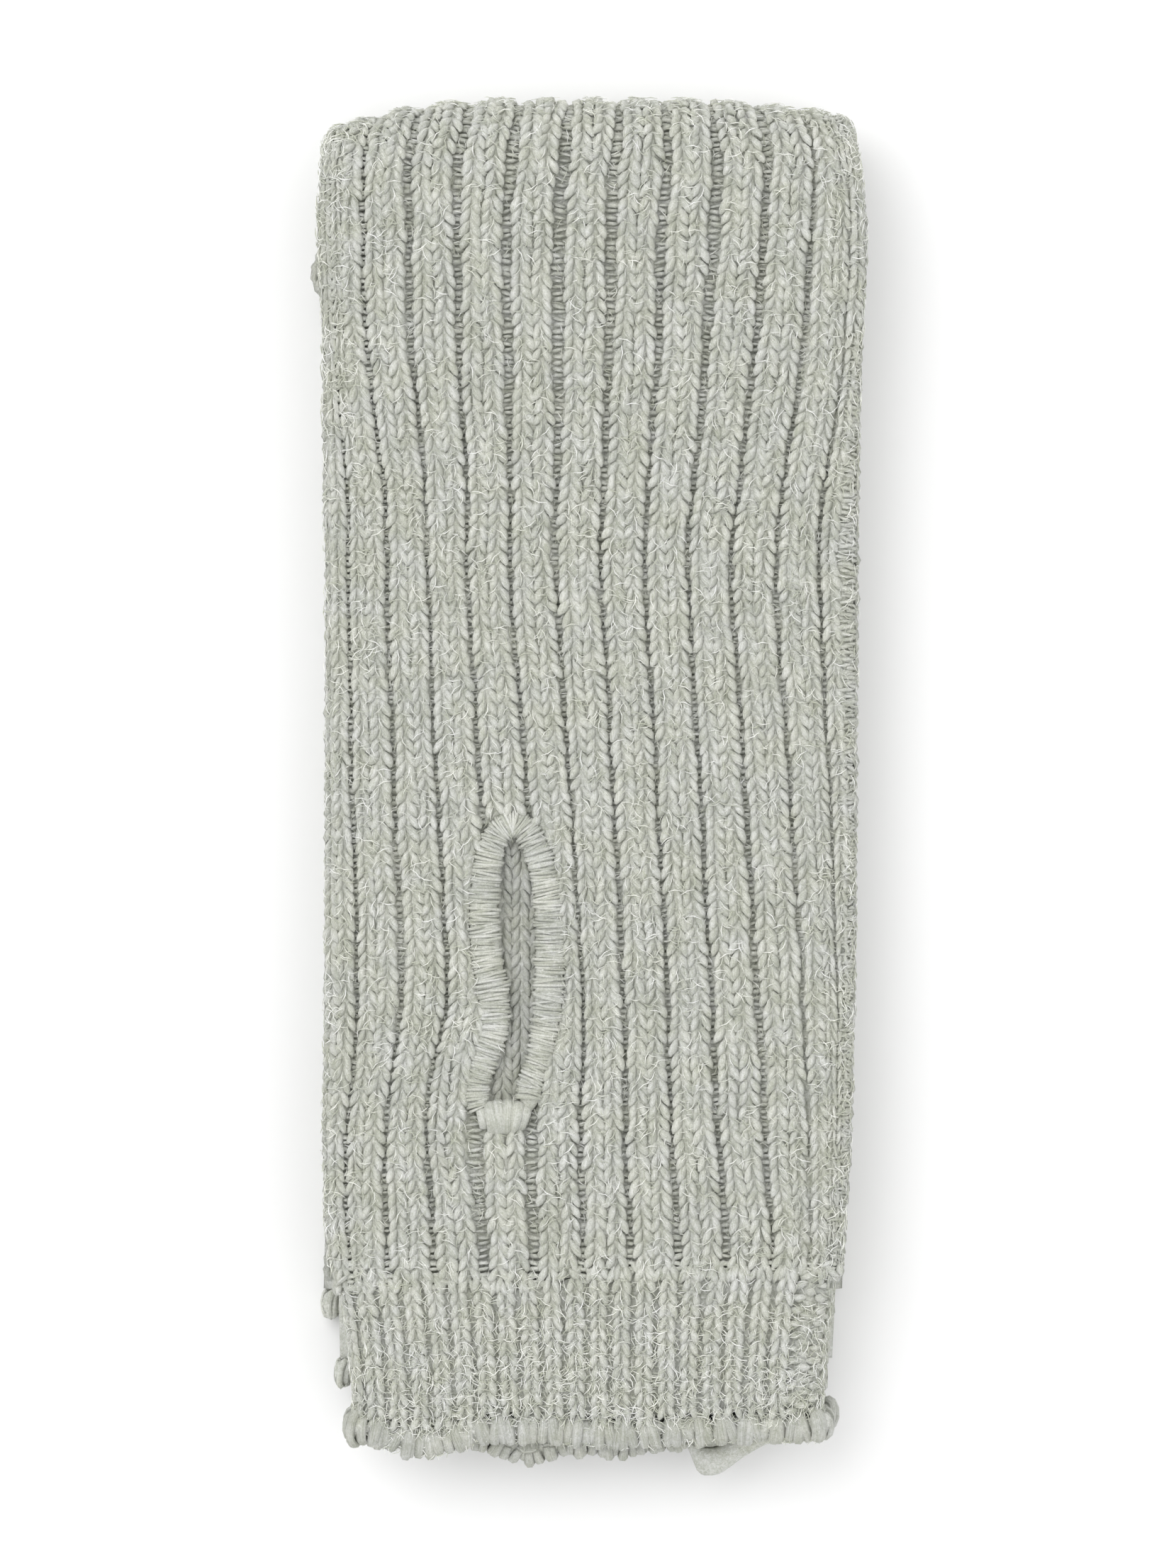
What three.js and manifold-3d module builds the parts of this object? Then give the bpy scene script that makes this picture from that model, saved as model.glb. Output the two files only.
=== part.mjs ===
// A pair of rib-knitted wool leg warmers, laid one on the other, folded in half and lying flat.
// Millimetres, +Z up. The fold is at +Y; the foot ends and the knee ends are at -Y.
// The outer leg warmer wraps round the inner one, so the stack holds, from the top down:
// the outer foot half, the inner foot half, the inner knee half and the outer knee half.
// Each half is a flattened tube, a wall above and a wall below.

import * as THREE from "three";
import { mergeVertices } from "three/addons/utils/BufferGeometryUtils.js";
import Module from "manifold-3d";

const wasm = await Module();
wasm.setup();

// Driving sizes
const seam = 0.3; // air between two pieces that meet
const crest = 3.9; // from a flattened tube's middle to the tops of its ribs
const ribDepth = 2.4; // from a rib's top down to the gutter beside it
const tubePitch = 7.4; // from the middle of one flattened tube to the next
const outerTurn = 1.5 * tubePitch; // fold radius at the middle of the outer tube
const innerTurn = 0.5 * tubePitch; // and of the inner one
const foldAxisZ = outerTurn + crest; // height of the line that the stack is folded about
const foldTipY = 165.6; // how far the fold reaches
const foldAxisY = foldTipY - outerTurn - crest;
const cuffSeamY = -114.6; // where the leg's broad rib changes to the cuff's fine rib
const outerKneeY = -121; // where the outer tube's knee half meets its bound edge
const innerKneeY = -137; // and the inner one's

// The outer leg warmer's foot half from above: its sides and the middles of its 13 ribs.
const legTable = [
  { y: 162, left: -63.6, right: 63.4,
    ribs: [-63, -59.5, -49.2, -37, -23.8, -10.6, 1.9, 13.7, 25.7, 36.8, 49.5, 59, 62.8] },
  { y: 137, left: -64.6, right: 66,
    ribs: [-64, -58.8, -49, -37.3, -25.5, -13.5, -0.7, 11.7, 23.7, 36.3, 47.8, 58.5, 65.4] },
  { y: 103, left: -63.5, right: 64.9,
    ribs: [-62.8, -58.1, -47.8, -36.5, -25.4, -13.4, -1, 10.6, 22, 33.6, 45.1, 56.8, 64.2] },
  { y: 70, left: -63.4, right: 64.1,
    ribs: [-61.7, -53.7, -43.6, -34.1, -24.2, -13.4, -2, 8.8, 19.3, 30.1, 40.9, 51.2, 60.5] },
  { y: 54, left: -62.9, right: 64.1,
    ribs: [-61.4, -53.4, -43.3, -34, -24.3, -13.7, -2.5, 8.1, 18.4, 28.6, 39, 49.9, 59.5] },
  { y: 5, left: -63, right: 63.8,
    ribs: [-61, -52.2, -41.3, -31.8, -20.8, -9.8, 0, 10.8, 21, 31.4, 42.3, 53, 61.4] },
  { y: -49, left: -63.1, right: 63.4,
    ribs: [-60, -50.5, -39, -29, -16.4, -5.7, 2.6, 13.7, 23.8, 34.3, 45.8, 56.2, 62] },
  { y: -66, left: -63.3, right: 62.9,
    ribs: [-60.8, -51.7, -41.6, -32.8, -18.4, -6.1, 3.3, 13.8, 24.3, 35.5, 47.1, 56.6, 61.8] },
  { y: -83, left: -63.6, right: 62.4,
    ribs: [-62, -53.6, -43.8, -34.1, -19.9, -7.6, 3.5, 14, 25, 36.2, 47.6, 56.8, 61.4] },
  { y: -108, left: -62.6, right: 61,
    ribs: [-61.4, -53.6, -42.8, -31.6, -19.3, -6.9, 4.1, 15.4, 26.9, 38.4, 49, 57, 60.2] },
  { y: -116, left: -61.4, right: 60,
    ribs: [-60.2, -52.8, -42.4, -31.3, -19.2, -7, 3.9, 15, 26.4, 37.8, 48.2, 56, 59.2] },
];

// The sides of the other three halves. The inner leg warmer bulges out at the left near the fold.
const outerKneeTable = [
  { y: 160, left: -63.6, right: 63.4 },
  { y: 60, left: -63.2, right: 63.4 },
  { y: -90, left: -63.4, right: 62 },
  { y: -128, left: -64.4, right: 61 },
];
const innerTable = [
  { y: 160, left: -61.5, right: 61.5 },
  { y: 136, left: -63.2, right: 63.6 },
  { y: 124, left: -66.4, right: 63.8 },
  { y: 114, left: -63, right: 63 },
  { y: 40, left: -62, right: 62.4 },
  { y: -90, left: -62.2, right: 61.4 },
  { y: -120, left: -61.4, right: 60.4 },
  { y: -144, left: -60.9, right: 59.3 },
];

// The foot cuffs narrow from their seams to their bound edges.
const outerCuffTable = [
  { y: -114, left: -60.8, right: 59.6 },
  { y: -125, left: -58.6, right: 57.6 },
  { y: -142, left: -56.6, right: 56 },
  { y: -156, left: -56.4, right: 56.4 },
];
const innerCuffTable = [
  { y: -114, left: -60.4, right: 60.2 },
  { y: -142, left: -56, right: 57.6 },
  { y: -156, left: -54, right: 57 },
];

// How thick the soft stack lies, as a share of its folded thickness.
const puffTable = [
  { y: 166, share: 1.07 },
  { y: 140, share: 1.06 },
  { y: 80, share: 0.98 },
  { y: 10, share: 0.93 },
  { y: -60, share: 0.97 },
  { y: -112, share: 1 },
  { y: -166, share: 1 },
];

// The bound edges wave: where the middle of the roll lies on a tube's upper wall and on its lower one.
const outerFootWave = [
  { x: -60, upper: -150.6, lower: -150.6 },
  { x: -49, upper: -153.8, lower: -152 },
  { x: -39, upper: -156, lower: -153 },
  { x: -25.5, upper: -152.8, lower: -154.4 },
  { x: -15.4, upper: -152.2, lower: -158.2 },
  { x: -5.5, upper: -152.8, lower: -155.8 },
  { x: 9, upper: -153.8, lower: -156.4 },
  { x: 20, upper: -152.8, lower: -154.4 },
  { x: 34, upper: -152.2, lower: -152.4 },
  { x: 50, upper: -152.2, lower: -151.6 },
  { x: 60, upper: -150.4, lower: -150.4 },
];
const innerFootWave = [
  { x: -58, upper: -149, lower: -149 },
  { x: -20, upper: -151.6, lower: -151.8 },
  { x: 16, upper: -151.6, lower: -152 },
  { x: 23, upper: -154, lower: -153.6 },
  { x: 28.8, upper: -161.4, lower: -158.5 },
  { x: 34, upper: -159, lower: -157 },
  { x: 43, upper: -153.6, lower: -153 },
  { x: 58, upper: -149, lower: -149 },
];
const outerKneeWave = [
  { x: -60, upper: -124.7, lower: -124.7 },
  { x: 0, upper: -124.9, lower: -124.9 },
  { x: 60, upper: -124.7, lower: -124.7 },
];
const innerKneeWave = [
  { x: -60, upper: -140.7, lower: -140.7 },
  { x: 0, upper: -140.9, lower: -140.9 },
  { x: 60, upper: -140.7, lower: -140.7 },
];

// The heel opening's edging: the middle of its roll, half its width, and how high its middle lies
// over the tube's middle. Its low end is the bobble where the middle rib is bound off.
const heelEdging = [
  { x: -18.1, y: -8.4, half: 3.2, high: 2.5 },
  { x: -22.3, y: -11.6, half: 3.3, high: 2.5 },
  { x: -24.5, y: -20, half: 3.5, high: 2.5 },
  { x: -25.2, y: -30, half: 3.7, high: 2.5 },
  { x: -24.5, y: -40, half: 3.9, high: 2.5 },
  { x: -23, y: -48.7, half: 3.9, high: 2.5 },
  { x: -22.6, y: -57.1, half: 3.6, high: 2.5 },
  { x: -25.2, y: -65.6, half: 3.2, high: 2.4 },
  { x: -26.7, y: -71, half: 3, high: 2.3 },
  { x: -26.2, y: -76, half: 2.9, high: 2.3 },
  { x: -22.6, y: -79.2, half: 3.7, high: 2.9 },
  { x: -17.6, y: -78.7, half: 3.9, high: 3.2 },
  { x: -14.6, y: -75, half: 3.4, high: 2.8 },
  { x: -14, y: -70.6, half: 3.2, high: 2.5 },
  { x: -12, y: -64.5, half: 3.1, high: 2.5 },
  { x: -10.4, y: -56.5, half: 3.4, high: 2.5 },
  { x: -9.5, y: -48, half: 3.8, high: 2.5 },
  { x: -9.2, y: -39, half: 3.9, high: 2.5 },
  { x: -9.4, y: -30, half: 3.7, high: 2.5 },
  { x: -10.8, y: -20, half: 3.5, high: 2.5 },
  { x: -14, y: -11.6, half: 3.3, high: 2.5 },
];

// Reads one column of a table at a place between its rows, on a smooth curve through them.
function between(table, key, at, pick) {
  const rows = table[1][key] > table[0][key] ? table : [...table].reverse();
  const place = THREE.MathUtils.clamp(at, rows[0][key], rows.at(-1)[key]);
  const i = Math.min(rows.findLastIndex((row) => row[key] <= place), rows.length - 2);
  const slope = (a, b) => (pick(rows[b]) - pick(rows[a])) / (rows[b][key] - rows[a][key]);
  const before = slope(Math.max(i - 1, 0), i + 1);
  const after = slope(i, Math.min(i + 2, rows.length - 1));
  const step = rows[i + 1][key] - rows[i][key];
  const t = (place - rows[i][key]) / step;
  const [start, end] = [pick(rows[i]), pick(rows[i + 1])];
  const bend = step * t * (1 - t) * (before * (1 - t) - after * t);
  return start + (end - start) * t * t * (3 - 2 * t) + bend;
}

const sidesAt = (table, y) => ({
  left: between(table, "y", y, (row) => row.left),
  right: between(table, "y", y, (row) => row.right),
});

// The fold's tip curves back towards both sides, more at the left.
const tip = { flat: 18, run: 45, left: 7.2, right: 4.4, startY: 112 };

function foldDrop(x, y) {
  const past = Math.max(0, Math.abs(x) - tip.flat) / tip.run;
  const drop = (x < 0 ? tip.left : tip.right) * past ** 2;
  return drop * THREE.MathUtils.smoothstep(y, tip.startY, foldTipY);
}

// The feet reach past the ends that they lie on, and hang down a little there.
const hang = { startY: -145, run: 22, drop: 4.5 };

// Takes a point of the evenly folded stack to where it lies in the soft one.
function settle(x, y, z) {
  const share = between(puffTable, "y", y, (row) => row.share);
  const sag = hang.drop * THREE.MathUtils.smoothstep(hang.startY - y, 0, hang.run);
  return new THREE.Vector3(x, y - foldDrop(x, y), z * share - sag);
}

// A point of a half or of the fold: how far it lies across, and out from the middle of its tube.
function placeOnFold({ y, turn }, radius, x, out) {
  const angle = THREE.MathUtils.degToRad(turn);
  const reach = radius + out;
  return settle(x, y + reach * Math.sin(angle), foldAxisZ + reach * Math.cos(angle));
}

// A closed mesh as a solid, with its faces turned outwards.
function solidOf(points, faces) {
  const volume = faces.reduce(
    (sum, [a, b, c]) => sum + points[a].dot(points[b].clone().cross(points[c])), 0);
  const turned = volume < 0 ? faces.map(([a, b, c]) => [a, c, b]) : faces;
  return new wasm.Manifold(new wasm.Mesh({
    numProp: 3,
    vertProperties: new Float32Array(points.flatMap((p) => p.toArray())),
    triVerts: new Uint32Array(turned.flat()),
  }));
}

// Skins rings of points into a solid: a closed loop of rings, or an open run with flat ends,
// whose outlines are given to cut the ends from.
function skin(rings, endOutlines) {
  const sides = rings[0].length;
  const spans = endOutlines ? rings.length - 1 : rings.length;
  const faces = [];
  for (let i = 0; i < spans; i++) {
    const a = i * sides;
    const b = ((i + 1) % rings.length) * sides;
    for (let k = 0; k < sides; k++) {
      const m = (k + 1) % sides;
      faces.push([a + k, a + m, b + m], [a + k, b + m, b + k]);
    }
  }
  endOutlines?.forEach((outline, end) => {
    const start = end * spans * sides;
    const way = Math.sign(THREE.ShapeUtils.area(outline));
    for (const [a, b, c] of THREE.ShapeUtils.triangulateShape(outline, [])) {
      const turn = Math.sign(THREE.ShapeUtils.area([outline[a], outline[b], outline[c]]));
      const [p, q] = (turn === way) === (end === 1) ? [b, c] : [c, b];
      faces.push([start + a, start + p, start + q]);
    }
  });
  return solidOf(rings.flat(), faces);
}

// A flattened tube's outline by share of its length: 0 is its left side and 0.5 its right one,
// with the upper wall between them. It gives a point at a reach from the tube's middle.
const rollArc = (crest * Math.PI) / 2;
const flatWidth = ({ left, right }) => right - left - 2 * crest;
const wallArc = (sides) => flatWidth(sides) + 2 * rollArc;

function roundTube(share, sides, reach) {
  const lower = share > 0.5;
  const arc = wallArc(sides) * (lower ? 2 - 2 * share : 2 * share);
  const over = THREE.MathUtils.clamp(arc - rollArc, 0, flatWidth(sides));
  const angle = (arc - rollArc - over) / crest;
  const way = new THREE.Vector2(Math.sin(angle), (lower ? -1 : 1) * Math.cos(angle));
  const at = new THREE.Vector2(sides.left + crest + over, 0).addScaledVector(way, reach);
  return { at, way };
}

// The share at which a place on the upper wall lies.
function shareOf(x, sides) {
  const corner = (inset) => crest * Math.acos(THREE.MathUtils.clamp(1 - inset / crest, 0, 1));
  const full = wallArc(sides);
  if (x < sides.left + crest) return corner(x - sides.left) / full / 2;
  if (x > sides.right - crest) return 0.5 - corner(sides.right - x) / full / 2;
  return (x - sides.left - crest + rollArc) / full / 2;
}

const evenly = (count, from, to) =>
  Array.from({ length: count }, (_, i) => from + ((to - from) * (i + 0.5)) / count);

// A rib's rounded section: places across it, in ribs from its middle, and how deep each lies.
const broadRib = [
  { across: -0.5, deep: 1 },
  { across: -0.32, deep: 0.3 },
  { across: -0.12, deep: 0 },
  { across: 0.12, deep: 0 },
  { across: 0.32, deep: 0.3 },
];
const fineRib = [
  { across: -0.5, deep: 1 },
  { across: -0.2, deep: 0.1 },
  { across: 0.2, deep: 0.1 },
];

// The upper wall's outer line over its ribs, as shares and depths. The outermost ribs run on
// round the tube's sides without a gutter.
function ribLine(middles, rib, depth) {
  const gutters = [0, ...middles.slice(1).map((share, i) => (share + middles[i]) / 2), 0.5];
  const line = middles.flatMap((middle, i) =>
    rib.map(({ across, deep }) => {
      const edge = across < 0 ? gutters[i] : gutters[i + 1];
      const outer = i === 0 && across < 0 || i === middles.length - 1 && across > 0;
      const share = THREE.MathUtils.lerp(middle, edge, 2 * Math.abs(across));
      return { share, depth: outer ? 0 : deep * depth };
    }));
  return [...line, { share: 0.5, depth: 0 }];
}

// The plain line between a tube's walls, a little domed, at a height over the tube's middle.
const flatLine = { points: 8, start: 0.03, end: 0.47, dome: 0.3 };

function middleLine(sides, height) {
  return evenly(flatLine.points, flatLine.start, flatLine.end).map((share) => {
    const { at } = roundTube(share, sides, 0);
    return new THREE.Vector2(at.x, height + flatLine.dome * Math.sin(2 * Math.PI * share));
  });
}

// Stations along a leg warmer: the foot half, round the fold, and back along the knee half.
const legStations = [
  ...[cuffSeamY, -101, -88, -76, -62, -49, -30, -5, 25, 54, 72, 90, 104, 120, 137, foldAxisY]
    .map((y) => ({ y, turn: 0 })),
  ...[22, 44, 66, 90, 114, 136, 158].map((turn) => ({ y: foldAxisY, turn })),
  ...[foldAxisY, 90, 0, -80, outerKneeY].map((y) => ({ y, turn: 180 })),
];

// Where the outer tube's sides and rib middles are at a station. The knee half's ribs lie evenly.
function outerAt({ y, turn }) {
  const over = turn / 180;
  const mix = (foot, knee) => THREE.MathUtils.lerp(foot, knee, over);
  const tableY = turn === 0 ? y : legTable[0].y;
  const foot = sidesAt(legTable, tableY);
  const knee = sidesAt(outerKneeTable, y);
  const sides = { left: mix(foot.left, knee.left), right: mix(foot.right, knee.right) };
  const even = evenly(legTable[0].ribs.length, 0, 0.5);
  const middles = even.map((share, i) =>
    mix(shareOf(between(legTable, "y", tableY, (row) => row.ribs[i]), sides), share));
  return { sides, middles };
}

// Skins sections of the stack at their stations into a solid.
function alongLeg(stationList, sectionAt) {
  const outlines = stationList.map(sectionAt);
  const rings = stationList.map((station, i) =>
    outlines[i].map((p) => placeOnFold(station, outerTurn, p.x, p.y)));
  return skin(rings, [outlines[0], outlines.at(-1)]);
}

// The wall that shows: over the foot half, round the fold, and along the underside, which lies flat.
function outerLeg() {
  const wall = alongLeg(legStations, (station) => {
    const { sides, middles } = outerAt(station);
    const relief = 1 - THREE.MathUtils.smoothstep(station.turn, 80, 158);
    const outer = ribLine(middles, broadRib, ribDepth * relief).map(({ share, depth }) => {
      const { at } = roundTube(share, sides, crest - depth);
      return new THREE.Vector2(at.x, Math.max(at.y, seam / 2));
    });
    return [...outer, ...middleLine(sides, seam / 2).reverse()];
  });
  return wall.subtract(heelHole());
}

// The hidden walls: the outer tube's inner wall and the whole inner tube, with rounded, layered sides.
function hiddenLayers() {
  const lowerRoll = [4, 30, 60]; // degrees round the outer tube's side, from its middle down
  const innerRoll = [58, 28, 0, -30, -62]; // and round the inner tube's, from its top down
  const innerRadius = innerTurn - 0.05; // leaves a little air inside the fold
  const slit = 0.3; // half the air between the two halves of the inner tube
  const notch = 2.9; // how deep the step between the two tubes goes in at the side
  const sideLine = (outerX, innerX, way) => {
    const outerCentre = outerX - way * crest;
    const innerCentre = innerX - way * innerRadius;
    const notchX = way * Math.min(way * outerX, way * innerX) - way * notch;
    const round = (centre, radius, middle) => (degrees) => {
      const angle = THREE.MathUtils.degToRad(degrees);
      return new THREE.Vector2(centre + way * radius * Math.cos(angle), middle + radius * Math.sin(angle));
    };
    return [
      new THREE.Vector2(outerX, -seam / 2),
      ...lowerRoll.slice(1).map((degrees) => round(outerCentre, crest, 0)(-degrees)),
      new THREE.Vector2(notchX, -tubePitch / 2),
      ...innerRoll.map(round(innerCentre, innerRadius, -tubePitch)),
      new THREE.Vector2(innerCentre, slit - outerTurn),
    ];
  };
  const stack = alongLeg(legStations, ({ y, turn }) => {
    const { sides } = outerAt({ y, turn });
    const inner = sidesAt(innerTable, y);
    return [
      ...middleLine(sides, -seam / 2),
      ...sideLine(sides.right, inner.right, 1),
      ...sideLine(sides.left, inner.left, -1).reverse(),
    ];
  });
  return stack.add(innerKneeHalf());
}

// The inner tube's knee half reaches on past the outer one's.
function innerKneeHalf() {
  const startY = -100;
  const sectionSides = 20;
  const reach = innerTurn - 0.1;
  const stations = [startY, outerKneeY, innerKneeY].map((y) => ({ y, turn: 180 }));
  const outlines = stations.map(({ y }) => {
    const sides = sidesAt(innerTable, y);
    return evenly(sectionSides, 0, 1).map((share) => roundTube(share, sides, reach).at);
  });
  const rings = outlines.map((outline, i) =>
    outline.map((p) => placeOnFold(stations[i], innerTurn, p.x, p.y)));
  return skin(rings, [outlines[0], outlines.at(-1)]);
}

// Places round a tube for a cuff or an edge: ribs over the upper wall, plain below.
const plainPlaces = 13;

function roundPlaces(ribs) {
  const upper = ribLine(evenly(ribs, 0, 0.5), fineRib, 1);
  const lower = evenly(plainPlaces, 0.5, 1).map((share) => ({ share, depth: 0 }));
  return [...upper, ...lower];
}

// Where the middle of a tube's bound edge lies, along the leg warmer.
function edgeY({ table, wave }, share) {
  const { at } = roundTube(share, sidesAt(table, wave[0].upper), crest / 2);
  return between(wave, "x", at.x, (row) => (share > 0.5 ? row.lower : row.upper));
}

// A foot cuff: a flattened tube with an open end, fine ribs raised on its upper wall.
const rollHalf = 3.4; // half the height of a bound edge's roll, along the leg warmer
const slitHalf = 0.4; // half the air between a cuff's walls
const cuffRibDepth = 1.3;
const cuffNarrowY = -129; // where a cuff has narrowed most of the way
const sagStart = 2; // a cuff bends down from this far before the place where it hangs

function footCuff(end, upperReach, lowerReach) {
  const topY = cuffSeamY - seam;
  const rings = roundPlaces(end.ribs).map(({ share, depth }) => {
    const reach = share > 0.5 ? lowerReach : upperReach;
    const endY = edgeY(end, share) + rollHalf + seam;
    const point = (y, out) => {
      const { at } = roundTube(share, sidesAt(end.table, y), out);
      return placeOnFold({ y, turn: 0 }, end.radius, at.x, at.y);
    };
    const ys = [topY, cuffNarrowY, hang.startY + sagStart, endY];
    const outside = ys.map((y) => point(y, reach - depth * cuffRibDepth));
    const inside = [...ys].reverse().map((y) => point(y, slitHalf));
    return [...outside, ...inside];
  });
  return skin(rings);
}

const rollSides = 8; // faces round the section of a bound edge and of the heel edging

// A bound edge: a soft roll that goes all round the tube's end.
function boundEdge(end, reach) {
  const thick = (reach - seam / 2) / 2;
  const sides = sidesAt(end.table, end.wave[0].upper);
  const rings = roundPlaces(end.ribs).map(({ share }) => {
    const { at, way } = roundTube(share, sides, reach - thick);
    const middleY = edgeY(end, share);
    return evenly(rollSides, 0, 2 * Math.PI).map((angle) => {
      const p = at.clone().addScaledVector(way, thick * Math.cos(angle));
      const station = { y: middleY + rollHalf * Math.sin(angle), turn: end.turn };
      return placeOnFold(station, end.radius, p.x, p.y);
    });
  });
  return skin(rings);
}

// The middle, direction and size of the heel edging at a share of the way round it.
const edgingCurve = new THREE.CatmullRomCurve3(
  heelEdging.map(({ x, y, high }) => new THREE.Vector3(x, y, high)), true, "centripetal");

function edgingAt(share) {
  const middle = edgingCurve.getPoint(share);
  const along = edgingCurve.getTangent(share);
  const outward = new THREE.Vector2(along.y, -along.x).normalize();
  const at = share * heelEdging.length;
  const row = heelEdging[Math.floor(at) % heelEdging.length];
  const next = heelEdging[(Math.floor(at) + 1) % heelEdging.length];
  return { middle, outward, half: THREE.MathUtils.lerp(row.half, next.half, at % 1) };
}

const edgingPlaces = 2 * heelEdging.length;
const edgingRise = 0.3; // from the line between the walls up to the edging's underside

function heelEdgingRing() {
  const rings = evenly(edgingPlaces, 0, 1).map((share) => {
    const { middle, outward, half } = edgingAt(share);
    const lift = middle.z - seam / 2 - edgingRise;
    return evenly(rollSides, 0, 2 * Math.PI).map((angle) => {
      const aside = half * Math.cos(angle);
      const x = middle.x + outward.x * aside;
      const y = middle.y + outward.y * aside;
      return placeOnFold({ y, turn: 0 }, outerTurn, x, middle.z + lift * Math.sin(angle));
    });
  });
  return skin(rings);
}

// The opening in the wall, just clear of its edging, as an upright block to cut away.
function heelHole() {
  const outline = evenly(edgingPlaces, 0, 1).map((share) => {
    const { middle, outward, half } = edgingAt(share);
    return new THREE.Vector2(middle.x, middle.y).addScaledVector(outward, half + seam);
  });
  const height = 2 * outerTurn;
  const block = new THREE.ExtrudeGeometry(new THREE.Shape(outline), { depth: height, bevelEnabled: false });
  block.translate(0, 0, foldAxisZ);
  block.deleteAttribute("normal");
  block.deleteAttribute("uv");
  const merged = mergeVertices(block);
  return new wasm.Manifold(new wasm.Mesh({
    numProp: 3,
    vertProperties: merged.attributes.position.array,
    triVerts: new Uint32Array(merged.index.array),
  }));
}

function geometryOf(solid) {
  const { vertProperties, triVerts } = solid.getMesh();
  const geometry = new THREE.BufferGeometry();
  geometry.setAttribute("position", new THREE.BufferAttribute(vertProperties, 3));
  geometry.setIndex(new THREE.BufferAttribute(triVerts, 1));
  geometry.computeVertexNormals();
  return geometry;
}

const wool = { ribbed: "#c9cbc4", cuff: "#c2c4bb", bound: "#cfd1ca", hidden: "#b4b7a8" };

const outerFoot = { table: outerCuffTable, wave: outerFootWave, radius: outerTurn, turn: 0, ribs: 22 };
const innerFoot = { table: innerCuffTable, wave: innerFootWave, radius: innerTurn, turn: 0, ribs: 14 };
const outerKnee = { table: outerKneeTable, wave: outerKneeWave, radius: outerTurn, turn: 180, ribs: 5 };
const innerKnee = { table: innerTable, wave: innerKneeWave, radius: innerTurn, turn: 180, ribs: 5 };
const lowerReach = 3.5; // half the thickness of a foot cuff's plain side, and of the edges
const innerReach = 3.3; // half the thickness of the inner tube's ends

const pieces = [
  { name: "outer_leg", solid: outerLeg(), color: wool.ribbed },
  { name: "heel_edging", solid: heelEdgingRing(), color: wool.bound },
  { name: "outer_foot_cuff", color: wool.cuff,
    solid: footCuff(outerFoot, crest, lowerReach) },
  { name: "outer_foot_edge", color: wool.bound,
    solid: boundEdge(outerFoot, lowerReach) },
  { name: "inner_foot_cuff", color: wool.cuff,
    solid: footCuff(innerFoot, innerReach, innerReach) },
  { name: "inner_foot_edge", color: wool.bound,
    solid: boundEdge(innerFoot, innerReach) },
  { name: "outer_knee_edge", color: wool.bound,
    solid: boundEdge(outerKnee, lowerReach) },
  { name: "inner_knee_edge", color: wool.bound,
    solid: boundEdge(innerKnee, innerReach) },
  { name: "hidden_layers", solid: hiddenLayers(), color: wool.hidden },
];

const pair = new THREE.Group();
for (const { name, solid, color } of pieces) {
  const material = new THREE.MeshStandardMaterial({ color, roughness: 0.95, metalness: 0 });
  const mesh = new THREE.Mesh(geometryOf(solid), material);
  mesh.name = name;
  pair.add(mesh);
}

// The origin is the middle of the pair's underside.
const box = new THREE.Box3().setFromObject(pair);
const middle = box.getCenter(new THREE.Vector3());
for (const mesh of pair.children) mesh.geometry.translate(-middle.x, -middle.y, -box.min.z);

export default pair;
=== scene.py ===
import math
import bmesh
import bpy
import numpy as np
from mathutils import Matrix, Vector


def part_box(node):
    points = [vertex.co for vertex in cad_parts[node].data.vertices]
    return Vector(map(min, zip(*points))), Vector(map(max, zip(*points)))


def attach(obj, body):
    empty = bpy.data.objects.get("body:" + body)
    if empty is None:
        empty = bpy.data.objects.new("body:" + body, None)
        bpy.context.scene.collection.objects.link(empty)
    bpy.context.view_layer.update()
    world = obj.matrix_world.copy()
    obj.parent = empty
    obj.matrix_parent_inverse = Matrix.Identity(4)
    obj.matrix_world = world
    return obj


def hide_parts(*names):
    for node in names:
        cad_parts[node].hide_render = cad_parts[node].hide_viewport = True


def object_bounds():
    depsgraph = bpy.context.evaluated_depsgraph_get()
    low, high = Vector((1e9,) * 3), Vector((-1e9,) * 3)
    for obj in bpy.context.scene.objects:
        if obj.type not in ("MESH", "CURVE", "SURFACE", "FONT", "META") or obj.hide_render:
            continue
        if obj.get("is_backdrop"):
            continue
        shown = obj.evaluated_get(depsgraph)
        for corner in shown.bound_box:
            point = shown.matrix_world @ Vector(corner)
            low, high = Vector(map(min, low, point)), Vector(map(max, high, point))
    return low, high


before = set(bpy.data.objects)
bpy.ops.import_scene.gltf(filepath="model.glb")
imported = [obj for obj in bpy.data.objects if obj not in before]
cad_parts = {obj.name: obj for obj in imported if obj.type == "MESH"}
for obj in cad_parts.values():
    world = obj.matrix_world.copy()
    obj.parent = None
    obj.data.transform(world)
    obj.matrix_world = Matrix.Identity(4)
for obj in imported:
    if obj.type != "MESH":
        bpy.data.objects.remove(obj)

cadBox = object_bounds()
mm = 0.001

# Two wool leg warmers, one laid on the other, folded in half. Table sizes are in millimetres:
# y runs along the legs towards the fold, x to the right, and "out" from the middle of a tube.
crest = 3.9            # from a tube's middle to the tops of its ribs
ribDepth = 2.4
tubePitch = 7.4
outerTurn = 1.5 * tubePitch
innerTurn = 0.5 * tubePitch
foldAxisZ = outerTurn + crest
foldTipY = 165.6
foldAxisY = foldTipY - outerTurn - crest
cuffSeamY = -114.6
outerKneeY = -121.0
innerKneeY = -137.0
seam = 0.3

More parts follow.
